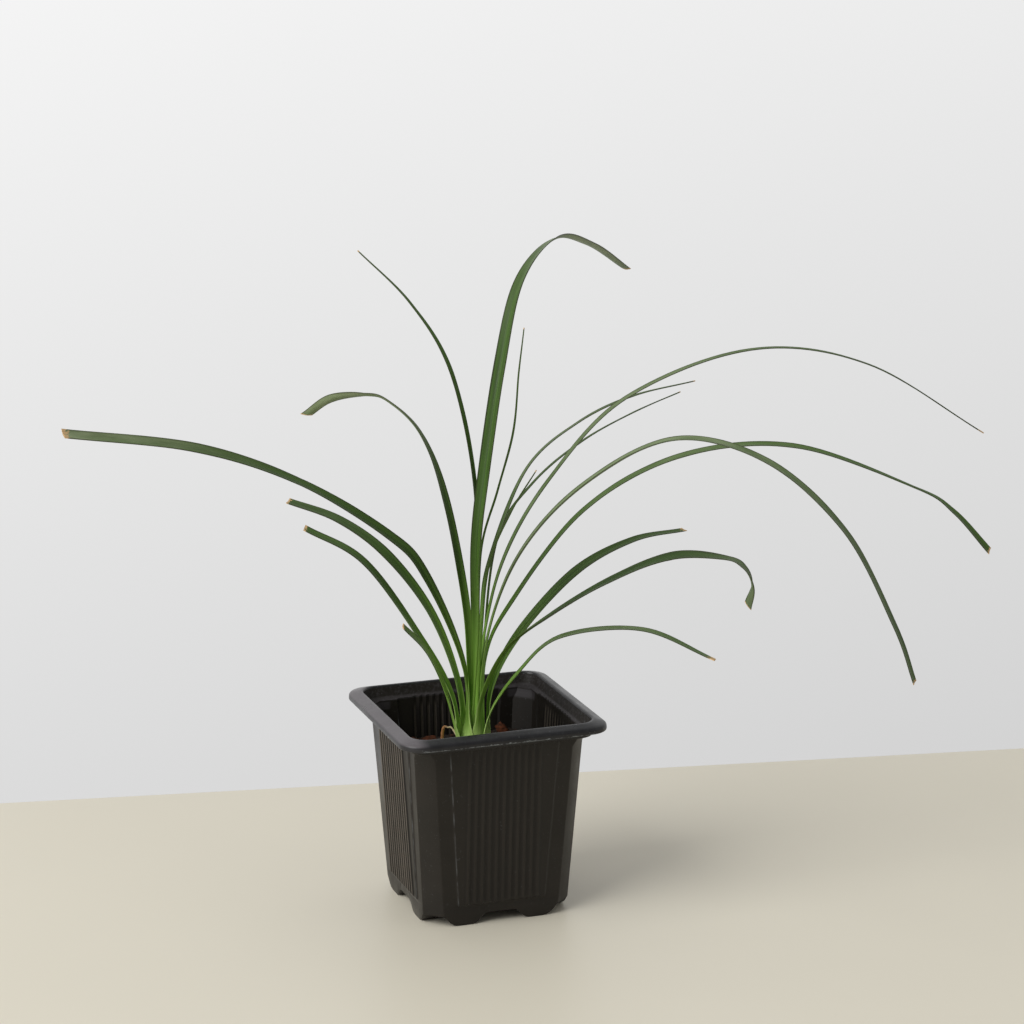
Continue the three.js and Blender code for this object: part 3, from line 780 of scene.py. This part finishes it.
def withered_finish(plant):
    """Cream, turning rust towards the tip."""
    finish = Finish("withered papery leaf")
    grain = finish.attribute("grain", "Vector")
    along, _, _ = finish.parts(grain)
    fibres = finish.noise(finish.stretched(grain, (0.12, 6, 1)), 1, 4, 0.65)
    blotches = finish.noise(finish.stretched(grain, (0.4, 0.5, 1)), 1, 3)
    cream = finish.shades(fibres, 0.3, 0.7, plant.dead_leaf, 0.85, 1.45)
    rust = finish.blend(finish.ramp(fibres, 0.3, 0.7), (0.30, 0.125, 0.045), (0.58, 0.28, 0.11))
    worn = finish.plus(finish.ramp(along, 9, 15), finish.ramp(blotches, 0.3, 0.7, -0.25, 0.25))
    base = finish.blend(finish.ramp(worn, 0.2, 0.8), cream, rust)
    return finish.done(base, finish.ramp(blotches, 0, 1, 0.7, 0.9), finish.bumps(fibres, 0.0003, 0.8), 0.3)


def plain_floor(studio):
    finish = Finish("plain pale floor")
    cloudy = finish.noise(finish.place, 3.5, 3)
    fine = finish.noise(finish.place, 700, 2)
    base = finish.shades(cloudy, 0.3, 0.7, studio.floor, 0.985, 1.015)
    return finish.done(base, finish.ramp(fine, 0, 1, 0.42, 0.5), finish.bumps(fine, 0.00003, 0.3))


def dress(piece, *materials):
    for material in materials:
        piece.data.materials.append(material)


# The pot


def wall_half(pot, height):
    return pot.half_at_table + pot.taper * height


def make_wall_face(pot):
    """One face of the wall, towards +X: a flat tapered sheet, scored and pushed out into a ribbed panel."""
    lower_edge = wall_half(pot, WALL_BOTTOM) - pot.chamfer
    upper_edge = wall_half(pot, SHOULDER) - pot.chamfer
    bpy.ops.mesh.primitive_plane_add(size=1, rotation=(0, math.pi / 2, 0))
    face = named("pot_wall")
    face.scale = (SHOULDER - WALL_BOTTOM, 2 * lower_edge, 1)
    face.location = (wall_half(pot, WALL_BOTTOM), 0, (SHOULDER + WALL_BOTTOM) / 2)
    freeze()
    open_mesh(face)
    pick_corners(face, lambda p: p.z > SHOULDER / 2)
    stretch(1, upper_edge / lower_edge, 1)
    shift(pot.taper * (SHOULDER - WALL_BOTTOM), 0, 0)
    rise = WALL_TOP - SHOULDER
    extrude(pot.taper * rise, 0, rise)
    stretch(1, (wall_half(pot, WALL_TOP) - TOP_CHAMFER) / upper_edge, 1)

    for height in SCORED:
        cut_across((0, 0, height * MM), (0, 0, 1))
    panel_line = pot.half_at_table - pot.chamfer - pot.margin
    inner_line = panel_line - pot.panel_step
    for side in (-1, 1):
        for line in (panel_line, inner_line):
            cut_across((0, line * side, 0), (0, side, -pot.taper))
    quarter = pot.rib_pitch / 4
    lines = 2 * pot.ribs
    for line in range(-lines, lines + 1):
        cut_across((0, line * quarter, 0), (0, 1, 0))

    pick_corners(face, lambda p: (
        abs(p.y) < inner_line + 2.5 * ON_LINE + pot.taper * p.z and p.z > PANEL_FROM * MM
    ))
    shift(pot.panel_rise, 0, 0)
    for low, high, share in RIB_STAGES:
        for every, first, rise in ((4, 0, 1), (2, 1, RIB_FLANK)):
            def on_rib(p):
                line = round(p.y / quarter)
                near = abs(p.y - line * quarter) < ON_LINE and abs(line) < lines
                return near and line % every == first and low * MM < p.z < high * MM
            pick_corners(face, on_rib)
            shift(pot.rib_height * share * rise, 0, 0)
    return face


def make_wall(pot):
    """The four faces, joined at the cut corners and closed at the floor and at the shoulder."""
    wall = make_wall_face(pot)
    repeat_round()

    def level(edge):
        heights = [corner.co.z for corner in edge.verts]
        return max(heights) < WALL_BOTTOM + 0.1 * MM or min(heights) > WALL_TOP - 0.1 * MM

    for along, across in CORNERS:
        pick_edges(wall, lambda edge: (
            edge.is_boundary and not level(edge)
            and edge.verts[0].co.x * along > 0 and edge.verts[0].co.y * across > 0
        ))
        bpy.ops.mesh.bridge_edge_loops()
    for sign in (-1, 1):
        pick_edges(wall, lambda edge: edge.is_boundary and (edge.verts[0].co.z - SHOULDER / 2) * sign > 0)
        bpy.ops.mesh.edge_face_add()
    close_mesh()
    outwards(wall)
    return wall


def make_cavity(pot, wall):
    """The space inside the wall: the wall's own shape, drawn in by its thickness, off the floor."""
    cavity = own_copy(wall, "pot_cavity")
    halfway_up, taller = 45 * MM, 1.01
    middle = wall_half(pot, halfway_up)
    share = (middle - pot.wall_thickness) / middle
    lowered = WALL_TOP - taller * (WALL_TOP - WALL_BOTTOM)  # where the stretch leaves the underside
    open_mesh(cavity)
    pick_all()
    stretch(share, share, taller, center_override=(0, 0, WALL_TOP))
    pick_corners(cavity, lambda p: p.z < WALL_BOTTOM)
    shift(0, 0, WALL_BOTTOM + pot.wall_thickness - lowered)
    pick_corners(cavity, lambda p: p.z > WALL_TOP - 0.1 * MM)
    shift(0, 0, 2 * MM)
    close_mesh()
    return cavity


def on_loop(point, loop):
    """Whether a point lies on a rounded square."""
    half, corner, height = (value * MM for value in loop)
    if abs(point.z - height) > 0.004 * MM:
        return False
    x, y = abs(point.x) - (half - corner), abs(point.y) - (half - corner)
    away = math.hypot(max(x, 0), max(y, 0)) + min(max(x, y), 0) - corner
    return abs(away) < ON_LINE


def make_rim():
    """The collar and the rolled rim: rounded squares, bridged one to the next and round to the first."""
    rim = None
    for half, corner, height in RIM_LOOPS:
        bpy.ops.mesh.primitive_plane_add(size=2 * half * MM, location=(0, 0, height * MM))
        if rim is None:
            rim = named("pot_rim")
            freeze()
            open_mesh(rim)
            pick_all()
        bpy.ops.mesh.bevel(offset=corner * MM, segments=8, affect="VERTICES")
        bpy.ops.mesh.delete(type="ONLY_FACE")
    for loop, following in zip(RIM_LOOPS, RIM_LOOPS[1:] + RIM_LOOPS[:1]):
        pick_edges(rim, lambda edge: any(
            all(on_loop(corner.co, one) for corner in edge.verts) for one in (loop, following)
        ))
        bpy.ops.mesh.bridge_edge_loops()
    close_mesh()
    outwards(rim)
    return rim


def make_feet(pot):
    """Eight low pads, two under each face, drawn from one scalloped edge."""
    columns = len(FOOT_EDGE)
    start, end = FOOT_EDGE[0][0] * MM, FOOT_EDGE[-1][0] * MM
    bpy.ops.mesh.primitive_grid_add(
        x_subdivisions=1, y_subdivisions=columns - 1, size=1, rotation=(0, math.pi / 2, 0),
    )
    foot = named("pot_feet")
    foot.scale = (FOOT_TOP, end - start, 1)
    foot.location = (0, (start + end) / 2, FOOT_TOP / 2)
    freeze()
    open_mesh(foot)
    step = (end - start) / (columns - 1)
    aside = 20 * MM  # a column is moved out this far once picked, so that it isn't picked again
    for column, (along, height) in enumerate(FOOT_EDGE):
        place = start + column * step
        pick_corners(foot, lambda p: abs(p.y - place) < step / 8 and p.x < aside / 2)
        shift(aside, along * MM - place, 0)
        pick_corners(foot, lambda p: (
            p.x > aside / 2 and p.z < FOOT_TOP / 8 and abs(p.y - along * MM) < ON_LINE / 2
        ))
        shift(wall_half(pot, height * MM) + ON_LINE - aside, 0, height * MM)
    pick_corners(foot, lambda p: p.z > FOOT_TOP - ON_LINE / 2)
    shift(wall_half(pot, FOOT_TOP) + ON_LINE - aside, 0, 0)
    pick_all()
    extrude(-FOOT_DEPTH, 0, 0)
    close_mesh()
    outwards(foot)
    round_edges(foot, 0.35, 40)
    open_mesh(foot)
    pick_all()
    bpy.ops.mesh.duplicate()
    stretch(1, -1, 1, center_override=(0, 0, 0))
    repeat_round()
    close_mesh()
    outwards(foot)
    return foot


def make_drain_cutters():
    """Round pegs that leave the drain holes."""
    cutters = None
    for x, y, radius in DRAIN_HOLES:
        bpy.ops.mesh.primitive_cylinder_add(
            vertices=40, radius=radius * MM, depth=12 * MM, location=(x * MM, y * MM, WALL_BOTTOM),
        )
        if cutters is None:
            cutters = named("drain_cutters")
            freeze()
            open_mesh(cutters)
    close_mesh()
    return cutters


def make_pot(pot):
    wall = make_wall(pot)
    cavity = make_cavity(pot, wall)
    round_edges(wall, 0.45, 28)
    combine(wall, make_rim(), "UNION")
    combine(wall, cavity, "DIFFERENCE")
    combine(wall, make_drain_cutters(), "DIFFERENCE")
    combine(wall, make_feet(pot), "UNION")
    outwards(wall)
    settle(wall, 32)
    return named("nursery_pot")


# The potting mix


def make_mix_bed(pot, mix):
    """A lumpy bed that fills the pot: a fine sheet cut to the wall's outline, drawn down to the floor."""
    half = wall_half(pot, mix.level) - mix.clearance
    bpy.ops.mesh.primitive_grid_add(
        x_subdivisions=BED_CELLS, y_subdivisions=BED_CELLS, size=2 * half, location=(0, 0, mix.level),
    )
    bed = named("potting_bed")
    freeze()
    top = bed.vertex_groups.new(name="top")
    open_mesh(bed)
    corner = half - pot.chamfer / 2
    for x, y in CORNERS:
        cut_across((corner * x, corner * y, 0), (x, y, 0), clear_outer=True)
    close_mesh()
    top.add([corner.index for corner in bed.data.vertices], 1, "REPLACE")
    for name, size, depth in BED_WAVES:
        roughen(bed, name, size, depth, direction="Z", vertex_group="top")
    open_mesh(bed)
    pick_edges(bed, lambda edge: edge.is_boundary)
    skirt, side = 4 * MM, 20 * MM
    extrude(0, 0, -skirt)
    extrude(0, 0, -side)
    share = (wall_half(pot, BED_BOTTOM) - mix.clearance) / half
    stretch(share, share, 0)
    shift(0, 0, BED_BOTTOM - (mix.level - skirt - side))
    bpy.ops.mesh.edge_face_add()
    close_mesh()
    outwards(bed)
    return bed


def make_bark(rng, number):
    """One ragged piece of bark, 10 mm long, lying flat."""
    size = (10 * MM, rng.uniform(4.5, 7) * MM, rng.uniform(1.8, 3) * MM)
    bpy.ops.mesh.primitive_cube_add(size=1, scale=size)
    chip = named(f"bark_{number}")
    freeze()
    open_mesh(chip)
    pick_all()
    bpy.ops.mesh.subdivide(number_cuts=2, fractal=0.6, seed=number)
    bpy.ops.transform.vertex_random(offset=0.7 * MM, uniform=0.4, seed=number + 20)
    pick_corners(chip, lambda p: p.x > 3.5 * MM)
    stretch(1, rng.uniform(0.35, 0.8), rng.uniform(0.4, 0.8))
    close_mesh()
    round_edges(chip, 0.25, 50, segments=1)
    return chip


def lay(pattern, place, turns, size, tone):
    """A toned copy of a piece of bark at its place, with its turns given as [angle, axis]."""
    chip = own_copy(pattern, "bark_laid")
    pose = Matrix.Translation(place)
    for angle, axis in turns:
        pose = pose @ Matrix.Rotation(angle, 4, axis)
    chip.data.transform(pose @ Matrix.Scale(size, 4))
    write_values(chip, "tone", [tone] * len(chip.data.vertices))
    return chip


def scatter(bed, patterns, number, rng, nearest, furthest, sizes, sink, tones):
    """Copies of the patterns laid on the bed, each turned and sized its own way."""
    laid = []
    while len(laid) < number:
        x, y = (rng.uniform(-furthest, furthest) for _ in range(2))
        in_crown = math.hypot(x - CROWN_PLACE.x, y - CROWN_PLACE.y) < nearest
        if in_crown or abs(x) + abs(y) > 1.75 * furthest:
            continue
        hit, point, _, _ = bed.ray_cast(Vector((x * MM, y * MM, 0.2)), Vector((0, 0, -1)))
        if not hit:
            continue
        pattern = rng.choice(patterns)
        size = rng.uniform(*sizes)
        turns = ((rng.uniform(0, math.tau), "Z"), (rng.gauss(0, 0.35), "X"), (rng.gauss(0, 0.3), "Y"))
        place = point + Vector((0, 0, sink * size))
        laid.append(lay(pattern, place, turns, size, rng.uniform(*tones)))
    return laid


def gather(pieces, name):
    clear_selection()
    for piece in pieces:
        piece.select_set(True)
    bpy.context.view_layer.objects.active = pieces[0]
    bpy.ops.object.join()
    return named(name)


# The leaves


def curve(a, leave, b, arrive, t):
    """The point and direction at a share t of the curve from a to b that has these speeds at its ends."""
    at = (
        (2 * t**3 - 3 * t**2 + 1) * a + (t**3 - 2 * t**2 + t) * leave
        + (3 * t**2 - 2 * t**3) * b + (t**3 - t**2) * arrive
    )
    way = (
        (6 * t**2 - 6 * t) * a + (3 * t**2 - 4 * t + 1) * leave
        + (6 * t - 6 * t**2) * b + (3 * t**2 - 2 * t) * arrive
    )
    return at, way.normalized()


def through(points, share):
    """The point and direction at a share of the way along a smooth line through the points."""
    spans = len(points) - 1
    span = min(int(share * spans), spans - 1)
    a, b = points[span], points[span + 1]
    before = points[span - 1] if span > 0 else 2 * a - b
    after = points[span + 2] if span + 2 <= spans else 2 * b - a
    return curve(a, (b - before) / 2, b, (after - a) / 2, share * spans - span)


def lengths_along(points):
    lengths = [0]
    for before, here in zip(points, points[1:]):
        lengths.append(lengths[-1] + (here - before).length)
    return lengths


def bearing(degrees):
    return Vector((math.cos(math.radians(degrees)), math.sin(math.radians(degrees)), 0))


def blade_share(share, tip):
    """How wide a blade is at a share of its length, from its foot through its widest stretch to its tip."""
    if share < WIDEST_TO:
        return BLADE_FOOT + (1 - BLADE_FOOT) * ease(0, WIDEST_FROM, share)
    return 1 + (tip - 1) * (share - WIDEST_TO) / (1 - WIDEST_TO)


def folded(v):
    """How far a point across the leaf is lifted by the fold along its middle, 0 to 1."""
    soft = 0.35
    return (math.hypot(2 * v, soft) - soft) / (math.hypot(1, soft) - soft)


def leaf_sections(leaf, channel):
    """Sections from the foot of the sheath to the tip: place, side, up, width, how far clasping, channel."""
    ring = leaf.ring
    level = bearing(leaf.turn + 90)
    aside = math.radians(leaf.root_turn - leaf.turn)
    offsets = [1, *leaf.fading] + [0] * len(leaf.path)
    stops = [(ring.radius * math.cos(aside), ring.height)] + [stop[:2] for stop in leaf.path]
    points = [
        CROWN_PLACE + bearing(leaf.turn) * reach + level * ring.radius * math.sin(aside) * offset
        + Vector((0, 0, height))
        for offset, (reach, height) in zip(offsets, stops)
    ]
    rolls = [(leaf.root_turn - leaf.turn + 180) % 360 - 180] + [roll for _, _, roll in leaf.path]
    sheath = max(min(ring.sheath, 3.2 + 1.3 * leaf.width), 4)

    root, root_way = through(points, 0)
    root_side = bearing(leaf.root_turn + 90)
    foot = CROWN_PLACE + bearing(leaf.root_turn) * (ring.foot_radius + LAYER * leaf.layer)
    foot.z += ring.foot_height
    rise = Vector((0, 0, (root - foot).length))
    sections = []
    for i in range(SHEATH_SECTIONS):
        t = i / SHEATH_SECTIONS
        at, _ = curve(foot, rise, root, root_way * rise.z, t)
        way = (Vector((0, 0, 1)) * (1 - t) + root_way * t).normalized()
        side = (root_side - way * root_side.dot(way)).normalized()
        sections.append((at, side, way.cross(side), sheath, 1, channel))

    spans = len(points) - 1
    steps = spans * SPAN_SECTIONS
    for i in range(steps + 1):
        share = i / steps
        span = min(int(share * spans), spans - 1)
        roll = math.radians(rolls[span] + (rolls[span + 1] - rolls[span]) * (share * spans - span))
        at, way = through(points, share)
        normal = way.cross(level).normalized()
        side = normal.cross(way) * math.cos(roll) + normal * math.sin(roll)
        blade = max(leaf.width * blade_share(share, leaf.tip), LEAST_WIDTH)
        near = 1 - ease(*OPENS, (at - root).length)
        wide = blade + (sheath - blade) * near
        fold = channel * (1 - FLATTER * ease(*FLATTENS, share))
        sections.append((at, side, way.cross(side), wide, near, fold))
    return sections


def make_leaf(name, leaf, plant):
    """One leaf: a flat strap of fine cells, laid along its line by sections, then made thick."""
    clasp_radius = leaf.ring.foot_radius + LAYER * leaf.layer
    sections = leaf_sections(leaf, plant.channel)
    last = len(sections) - 1
    bpy.ops.mesh.primitive_grid_add(x_subdivisions=last, y_subdivisions=CELLS_ACROSS, size=1)
    strap = named(name.replace("leaf_", "strap_leaf_"))
    lengths = lengths_along([at for at, *_ in sections])
    sheen_place, spread, strength = leaf.bloom
    seed = Vector((7.3 * len(name), 2.1 * leaf.turn, 0))
    tone = DARKENED_LEAVES.get(name, 0.5 + noise.noise(seed))
    grain = []
    columns = {key: [] for key in ("tone", "dry", "young", "pale", "bloom", "margin")}
    middle = strap.vertex_groups.new(name="middle")
    for corner in strap.data.vertices:
        i = round((corner.co.x + 0.5) * last)
        v = corner.co.y
        at, side, up, wide, clasp, channel = sections[i]
        along, to_tip = lengths[i], lengths[-1] - lengths[i]
        ripple = 0.12 * noise.noise(seed + Vector((along * 0.05, v * 1.5, 0))) * ease(10, 40, along)
        angle = v * wide / clasp_radius
        rise = clasp_radius * (1 - math.cos(angle)) * clasp + folded(v) * channel * wide * (1 - clasp)
        sideways = clasp_radius * math.sin(angle) * clasp + v * wide * (1 - clasp)
        slant = v * wide * ASLANT.get(name, NEARLY_SQUARE) * (1 - ease(0, 6, to_tip))
        corner.co = (at + side * sideways + up * (rise + ripple) - side.cross(up) * slant) * MM
        reach = (at - CROWN_PLACE - Vector((0, 0, 70))).length
        pale_margin = 0.9 * ease(0.34, 0.46, abs(v)) * (1 - ease(90, 108, at.z))
        grain += (along, v * wide, leaf.root_turn * 0.7)
        columns["tone"].append(tone)
        columns["dry"].append(1 - ease(0, max(leaf.dried, 0.1), to_tip))
        columns["young"].append(leaf.ring.youth * (1 - ease(15, 100, reach)))
        columns["pale"].append(max(1 - ease(77, 90, at.z), pale_margin))
        # Painted sheen: how strongly the leaf is drawn paler along its length
        columns["bloom"].append(strength * math.exp(-((along / lengths[-1] - sheen_place) / spread)**2))
        columns["margin"].append(2 * abs(v))
        middle.add([corner.index], 1 - 0.6 * (2 * abs(v))**2.5, "REPLACE")
    write_values(strap, "grain", grain, "FLOAT_VECTOR")
    for key, values in columns.items():
        write_values(strap, key, values)
    finish_with(
        strap, "SOLIDIFY", thickness=plant.thickness, offset=0, vertex_group="middle",
        thickness_vertex_group=0.35, material_offset=1, material_offset_rim=1,
    )
    settle(strap, 50)
    return strap


def make_crown():
    """The swollen foot of the stem: a disc drawn up ring by ring, with a low step at each old leaf scar."""
    first_radius, first_height = CROWN_PROFILE[0]
    bpy.ops.mesh.primitive_circle_add(
        vertices=56, radius=first_radius * MM, fill_type="NGON", location=(0, 0, first_height * MM),
    )
    crown = named("swollen_stem_foot")
    freeze()
    open_mesh(crown)
    pick_all()
    for (before, low), (radius, high) in zip(CROWN_PROFILE, CROWN_PROFILE[1:]):
        extrude(0, 0, (high - low) * MM)
        stretch(radius / before, radius / before, 1)
    bpy.ops.mesh.poke()
    close_mesh()
    finish_with(crown, "SUBSURF", levels=1, render_levels=1)
    roughen(crown, "swellings", 3.5, 0.7)
    crown.location = CROWN_PLACE * MM
    outwards(crown)
    settle(crown, 60)
    return crown


def make_dry_leaf():
    """The withered leaf: a papery strip folded over, crinkled across and curled at its margins."""
    out, level = bearing(DRY_LEAF_TURN), bearing(DRY_LEAF_TURN + 90)
    points = [CROWN_PLACE + out * reach + Vector((0, 0, height)) for reach, height in DRY_LEAF_PATH]
    steps = 60
    bpy.ops.mesh.primitive_grid_add(x_subdivisions=steps, y_subdivisions=8, size=1)
    strip = named("withered_leaf")
    lengths = lengths_along([through(points, i / steps)[0] for i in range(steps + 1)])
    grain = []
    for corner in strip.data.vertices:
        i = round((corner.co.x + 0.5) * steps)
        v = corner.co.y
        share, along = i / steps, lengths[i]
        at, way = through(points, share)
        roll = math.radians(70 - 20 * share)
        side = level * math.cos(roll) + way.cross(level).normalized() * math.sin(roll)
        up = way.cross(side).normalized()
        uneven = 1 + 0.18 * noise.noise(Vector((along * 0.45, 3, 0)))
        wide = (0.85 + 1.15 * ease(0.35, 0.65, share)) * uneven
        curl = 1.2 + 0.35 * noise.noise(Vector((along * 0.3, 9, 0)))
        angle = v * 2 * curl
        radius = wide / 2 / curl
        crinkle = 0.16 * noise.noise(Vector((along * 0.9, v * 2.5, 5)))
        lift = radius * (1 - math.cos(angle)) - 0.25 + crinkle
        corner.co = (at + side * radius * math.sin(angle) + up * lift) * MM
        grain += (along, v * wide, 0)
    write_values(strip, "grain", grain, "FLOAT_VECTOR")
    finish_with(strip, "SOLIDIFY", thickness=0.28 * MM, offset=0)
    settle(strip, 60)
    return strip


# The operators, one for each piece or group of like pieces


class PONYTAIL_OT_pot(bpy.types.Operator):
    """Moulds the square nursery pot with its ribbed panels, rolled rim and feet"""

    bl_idname = "ponytail.pot"
    bl_label = "Nursery Pot"

    def execute(self, context):
        settings = context.scene.ponytail_pot
        pot = make_pot(settings)
        dress(pot, *(MouldedPlastic(settings, part).made() for part in ("wall", "rim", "inside")))
        for face in pot.data.polygons:
            inwards = face.normal.dot((face.center - POT_AXIS) * Vector((1, 1, 0))) < 0
            if inwards and 9 * MM < face.center.z < 94.3 * MM:
                face.material_index = 2
            elif face.center.z > 89 * MM:
                face.material_index = 1
        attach(pot, "root")
        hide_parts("pot")
        return {"FINISHED"}


class PONYTAIL_OT_mix(bpy.types.Operator):
    """Fills the pot with crumbly mix and lays bark chips on it"""

    bl_idname = "ponytail.mix"
    bl_label = "Potting Mix"

    def execute(self, context):
        mix = context.scene.ponytail_mix
        rng = random.Random(11)
        bed = make_mix_bed(context.scene.ponytail_pot, mix)
        barks = [make_bark(rng, number) for number in range(6)]
        pieces = scatter(bed, barks, mix.chips, rng, 13, 34, (0.35, 0.95), 0.0002, (0.35, 0.95))
        for pattern, (place, turns, size, tone) in zip(barks, LEANING_BARK):
            pieces.append(lay(pattern, Vector(place) * MM, turns, size, tone))
        pieces += scatter(bed, barks, mix.crumbs, rng, 9, 35, (0.1, 0.26), 0.0006, (0.2, 1))
        bark = gather(pieces, "bark_chips")
        for pattern in barks:
            bpy.data.objects.remove(pattern, do_unlink=True)
        settle(bed, 50)
        settle(bark, 40)
        dress(bed, crumbly_mix(mix))
        dress(bark, flaky_bark(mix))
        for piece in (bed, bark):
            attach(piece, "root")
        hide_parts("potting_mix")
        return {"FINISHED"}


class PONYTAIL_OT_crown(bpy.types.Operator):
    """Raises the swollen foot of the stem"""

    bl_idname = "ponytail.crown"
    bl_label = "Stem Foot"

    def execute(self, context):
        crown = make_crown()
        dress(crown, stem_finish(context.scene.ponytail_plant))
        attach(crown, "root")
        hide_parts("stem_base")
        return {"FINISHED"}


class PONYTAIL_OT_leaves(bpy.types.Operator):
    """Grows the seventeen strap leaves out of the crown"""

    bl_idname = "ponytail.leaves"
    bl_label = "Strap Leaves"

    def execute(self, context):
        plant = context.scene.ponytail_plant
        face = leaf_finish(plant, "leaf face", plant.green, 0.9, 0.42, 0.55, 0.00006)
        back = leaf_finish(plant, "leaf back", plant.underside, 1.1, 0.48, 0.6, 0.00009)
        for name, leaf in LEAVES.items():
            strap = make_leaf(name, leaf, plant)
            dress(strap, face, back)
            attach(strap, "root")
            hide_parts(name)
        return {"FINISHED"}


class PONYTAIL_OT_dry_leaf(bpy.types.Operator):
    """Folds the withered leaf remnant over at the foot of the crown"""

    bl_idname = "ponytail.dry_leaf"
    bl_label = "Withered Leaf"

    def execute(self, context):
        strip = make_dry_leaf()
        dress(strip, withered_finish(context.scene.ponytail_plant))
        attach(strip, "root")
        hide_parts("dry_leaf")
        return {"FINISHED"}


class PONYTAIL_OT_studio(bpy.types.Operator):
    """Sets the pale floor, the soft lights and the camera"""

    bl_idname = "ponytail.studio"
    bl_label = "Studio"

    def execute(self, context):
        studio = context.scene.ponytail_studio
        make_floor(studio)
        make_lights(studio)
        make_world(studio)
        make_camera()
        context.scene.view_settings.view_transform = "Standard"
        return {"FINISHED"}


# The studio, in metres from the pot's axis


def make_floor(studio):
    """A table top, its back edge a little way behind the pot and the others far out."""
    bpy.ops.mesh.primitive_plane_add(size=1)
    floor = named("floor")
    places = ((-4.2, -5), (4.2, -5), (4.2, -0.567), (-4.2, 0.921))
    order = sorted(floor.data.vertices, key=lambda corner: math.atan2(corner.co.y, corner.co.x))
    for corner, place in zip(order, places):
        corner.co = Vector((*place, 0)) + POT_AXIS
    dress(floor, plain_floor(studio))


def make_lights(studio):
    middle = POT_AXIS + Vector((0, 0, 0.1))
    for name, place, size, power in (
        ("soft key", (-2.3, -0.75, 1.85), 2.2, studio.key_power),
        ("soft fill", (1.3, -1.1, 0.9), 1.2, studio.fill_power),
    ):
        bpy.ops.object.light_add(type="AREA", location=middle + Vector(place))
        light = bpy.context.active_object
        light.name = name
        light.data.shape = "SQUARE"
        light.data.size = size
        light.data.energy = power
        light.rotation_euler = (middle - light.location).to_track_quat("-Z", "Y").to_euler()


def make_world(studio):
    """A plain room, its brightness the product of three even changes along three directions."""
    world = bpy.data.worlds.new("pale studio")
    bpy.context.scene.world = world
    world.use_nodes = True
    tree = world.node_tree
    background = tree.nodes["Background"]
    background.inputs["Color"].default_value = (*studio.backdrop, 1)
    way = tree.nodes.new("ShaderNodeTexCoord").outputs["Generated"]
    shares = []
    for direction, start, end, low, high in (
        ((0.33, 0.94, 0), -0.5, 0.7, studio.front_share, 1),
        ((-0.28, 0, 0.96), -0.45, -0.12, 0.78, 1.14),
        ((0, 0, 1), 0, 0.45, 1, studio.ceiling_share),
    ):
        facing = tree.nodes.new("ShaderNodeVectorMath")
        facing.operation = "DOT_PRODUCT"
        facing.inputs[1].default_value = direction
        tree.links.new(way, facing.inputs[0])
        share = tree.nodes.new("ShaderNodeMapRange")
        for name, value in (("From Min", start), ("From Max", end), ("To Min", low), ("To Max", high)):
            share.inputs[name].default_value = value
        tree.links.new(facing.outputs["Value"], share.inputs["Value"])
        shares.append(share.outputs["Result"])
    product = shares[0]
    for share in shares[1:]:
        both = tree.nodes.new("ShaderNodeMath")
        both.operation = "MULTIPLY"
        tree.links.new(product, both.inputs[0])
        tree.links.new(share, both.inputs[1])
        product = both.outputs[0]
    tree.links.new(product, background.inputs["Strength"])


def make_camera():
    bpy.ops.object.camera_add()
    camera = bpy.context.active_object
    camera.name = "photograph camera"
    turn = Matrix(CAMERA_AXES).transposed().to_4x4()
    camera.matrix_world = Matrix.Translation(CAMERA_PLACE * MM + POT_AXIS) @ turn
    camera.data.lens = CAMERA_LENS
    camera.data.sensor_width = 36
    camera.data.clip_start = 0.01
    bpy.context.scene.camera = camera


# The panel, and how the add-on is registered and run


class PONYTAIL_PT_panel(bpy.types.Panel):
    """Lists the pieces with their sizes and colours"""

    bl_idname = "PONYTAIL_PT_panel"
    bl_label = "Ponytail Palm"
    bl_space_type = "VIEW_3D"
    bl_region_type = "UI"
    bl_category = "Ponytail Palm"

    def draw(self, context):
        scene = context.scene
        for settings, operators in (
            (scene.ponytail_pot, (PONYTAIL_OT_pot,)),
            (scene.ponytail_mix, (PONYTAIL_OT_mix,)),
            (scene.ponytail_plant, (PONYTAIL_OT_crown, PONYTAIL_OT_leaves, PONYTAIL_OT_dry_leaf)),
            (scene.ponytail_studio, (PONYTAIL_OT_studio,)),
        ):
            box = self.layout.box()
            for name in settings.__annotations__:
                box.prop(settings, name)
            for operator in operators:
                box.operator(operator.bl_idname)


CLASSES = (
    PotSettings, MixSettings, PlantSettings, StudioSettings,
    PONYTAIL_OT_pot, PONYTAIL_OT_mix, PONYTAIL_OT_crown, PONYTAIL_OT_leaves, PONYTAIL_OT_dry_leaf,
    PONYTAIL_OT_studio, PONYTAIL_PT_panel,
)


def register():
    for one in CLASSES:
        bpy.utils.register_class(one)
    bpy.types.Scene.ponytail_pot = PointerProperty(type=PotSettings)
    bpy.types.Scene.ponytail_mix = PointerProperty(type=MixSettings)
    bpy.types.Scene.ponytail_plant = PointerProperty(type=PlantSettings)
    bpy.types.Scene.ponytail_studio = PointerProperty(type=StudioSettings)


def unregister():
    for name in ("ponytail_pot", "ponytail_mix", "ponytail_plant", "ponytail_studio"):
        delattr(bpy.types.Scene, name)
    for one in reversed(CLASSES):
        bpy.utils.unregister_class(one)


def main():
    register()
    clear_selection()
    bpy.ops.ponytail.pot()
    bpy.ops.ponytail.mix()
    bpy.ops.ponytail.crown()
    bpy.ops.ponytail.leaves()
    bpy.ops.ponytail.dry_leaf()
    bpy.ops.ponytail.studio()


if __name__ == "__main__":
    main()
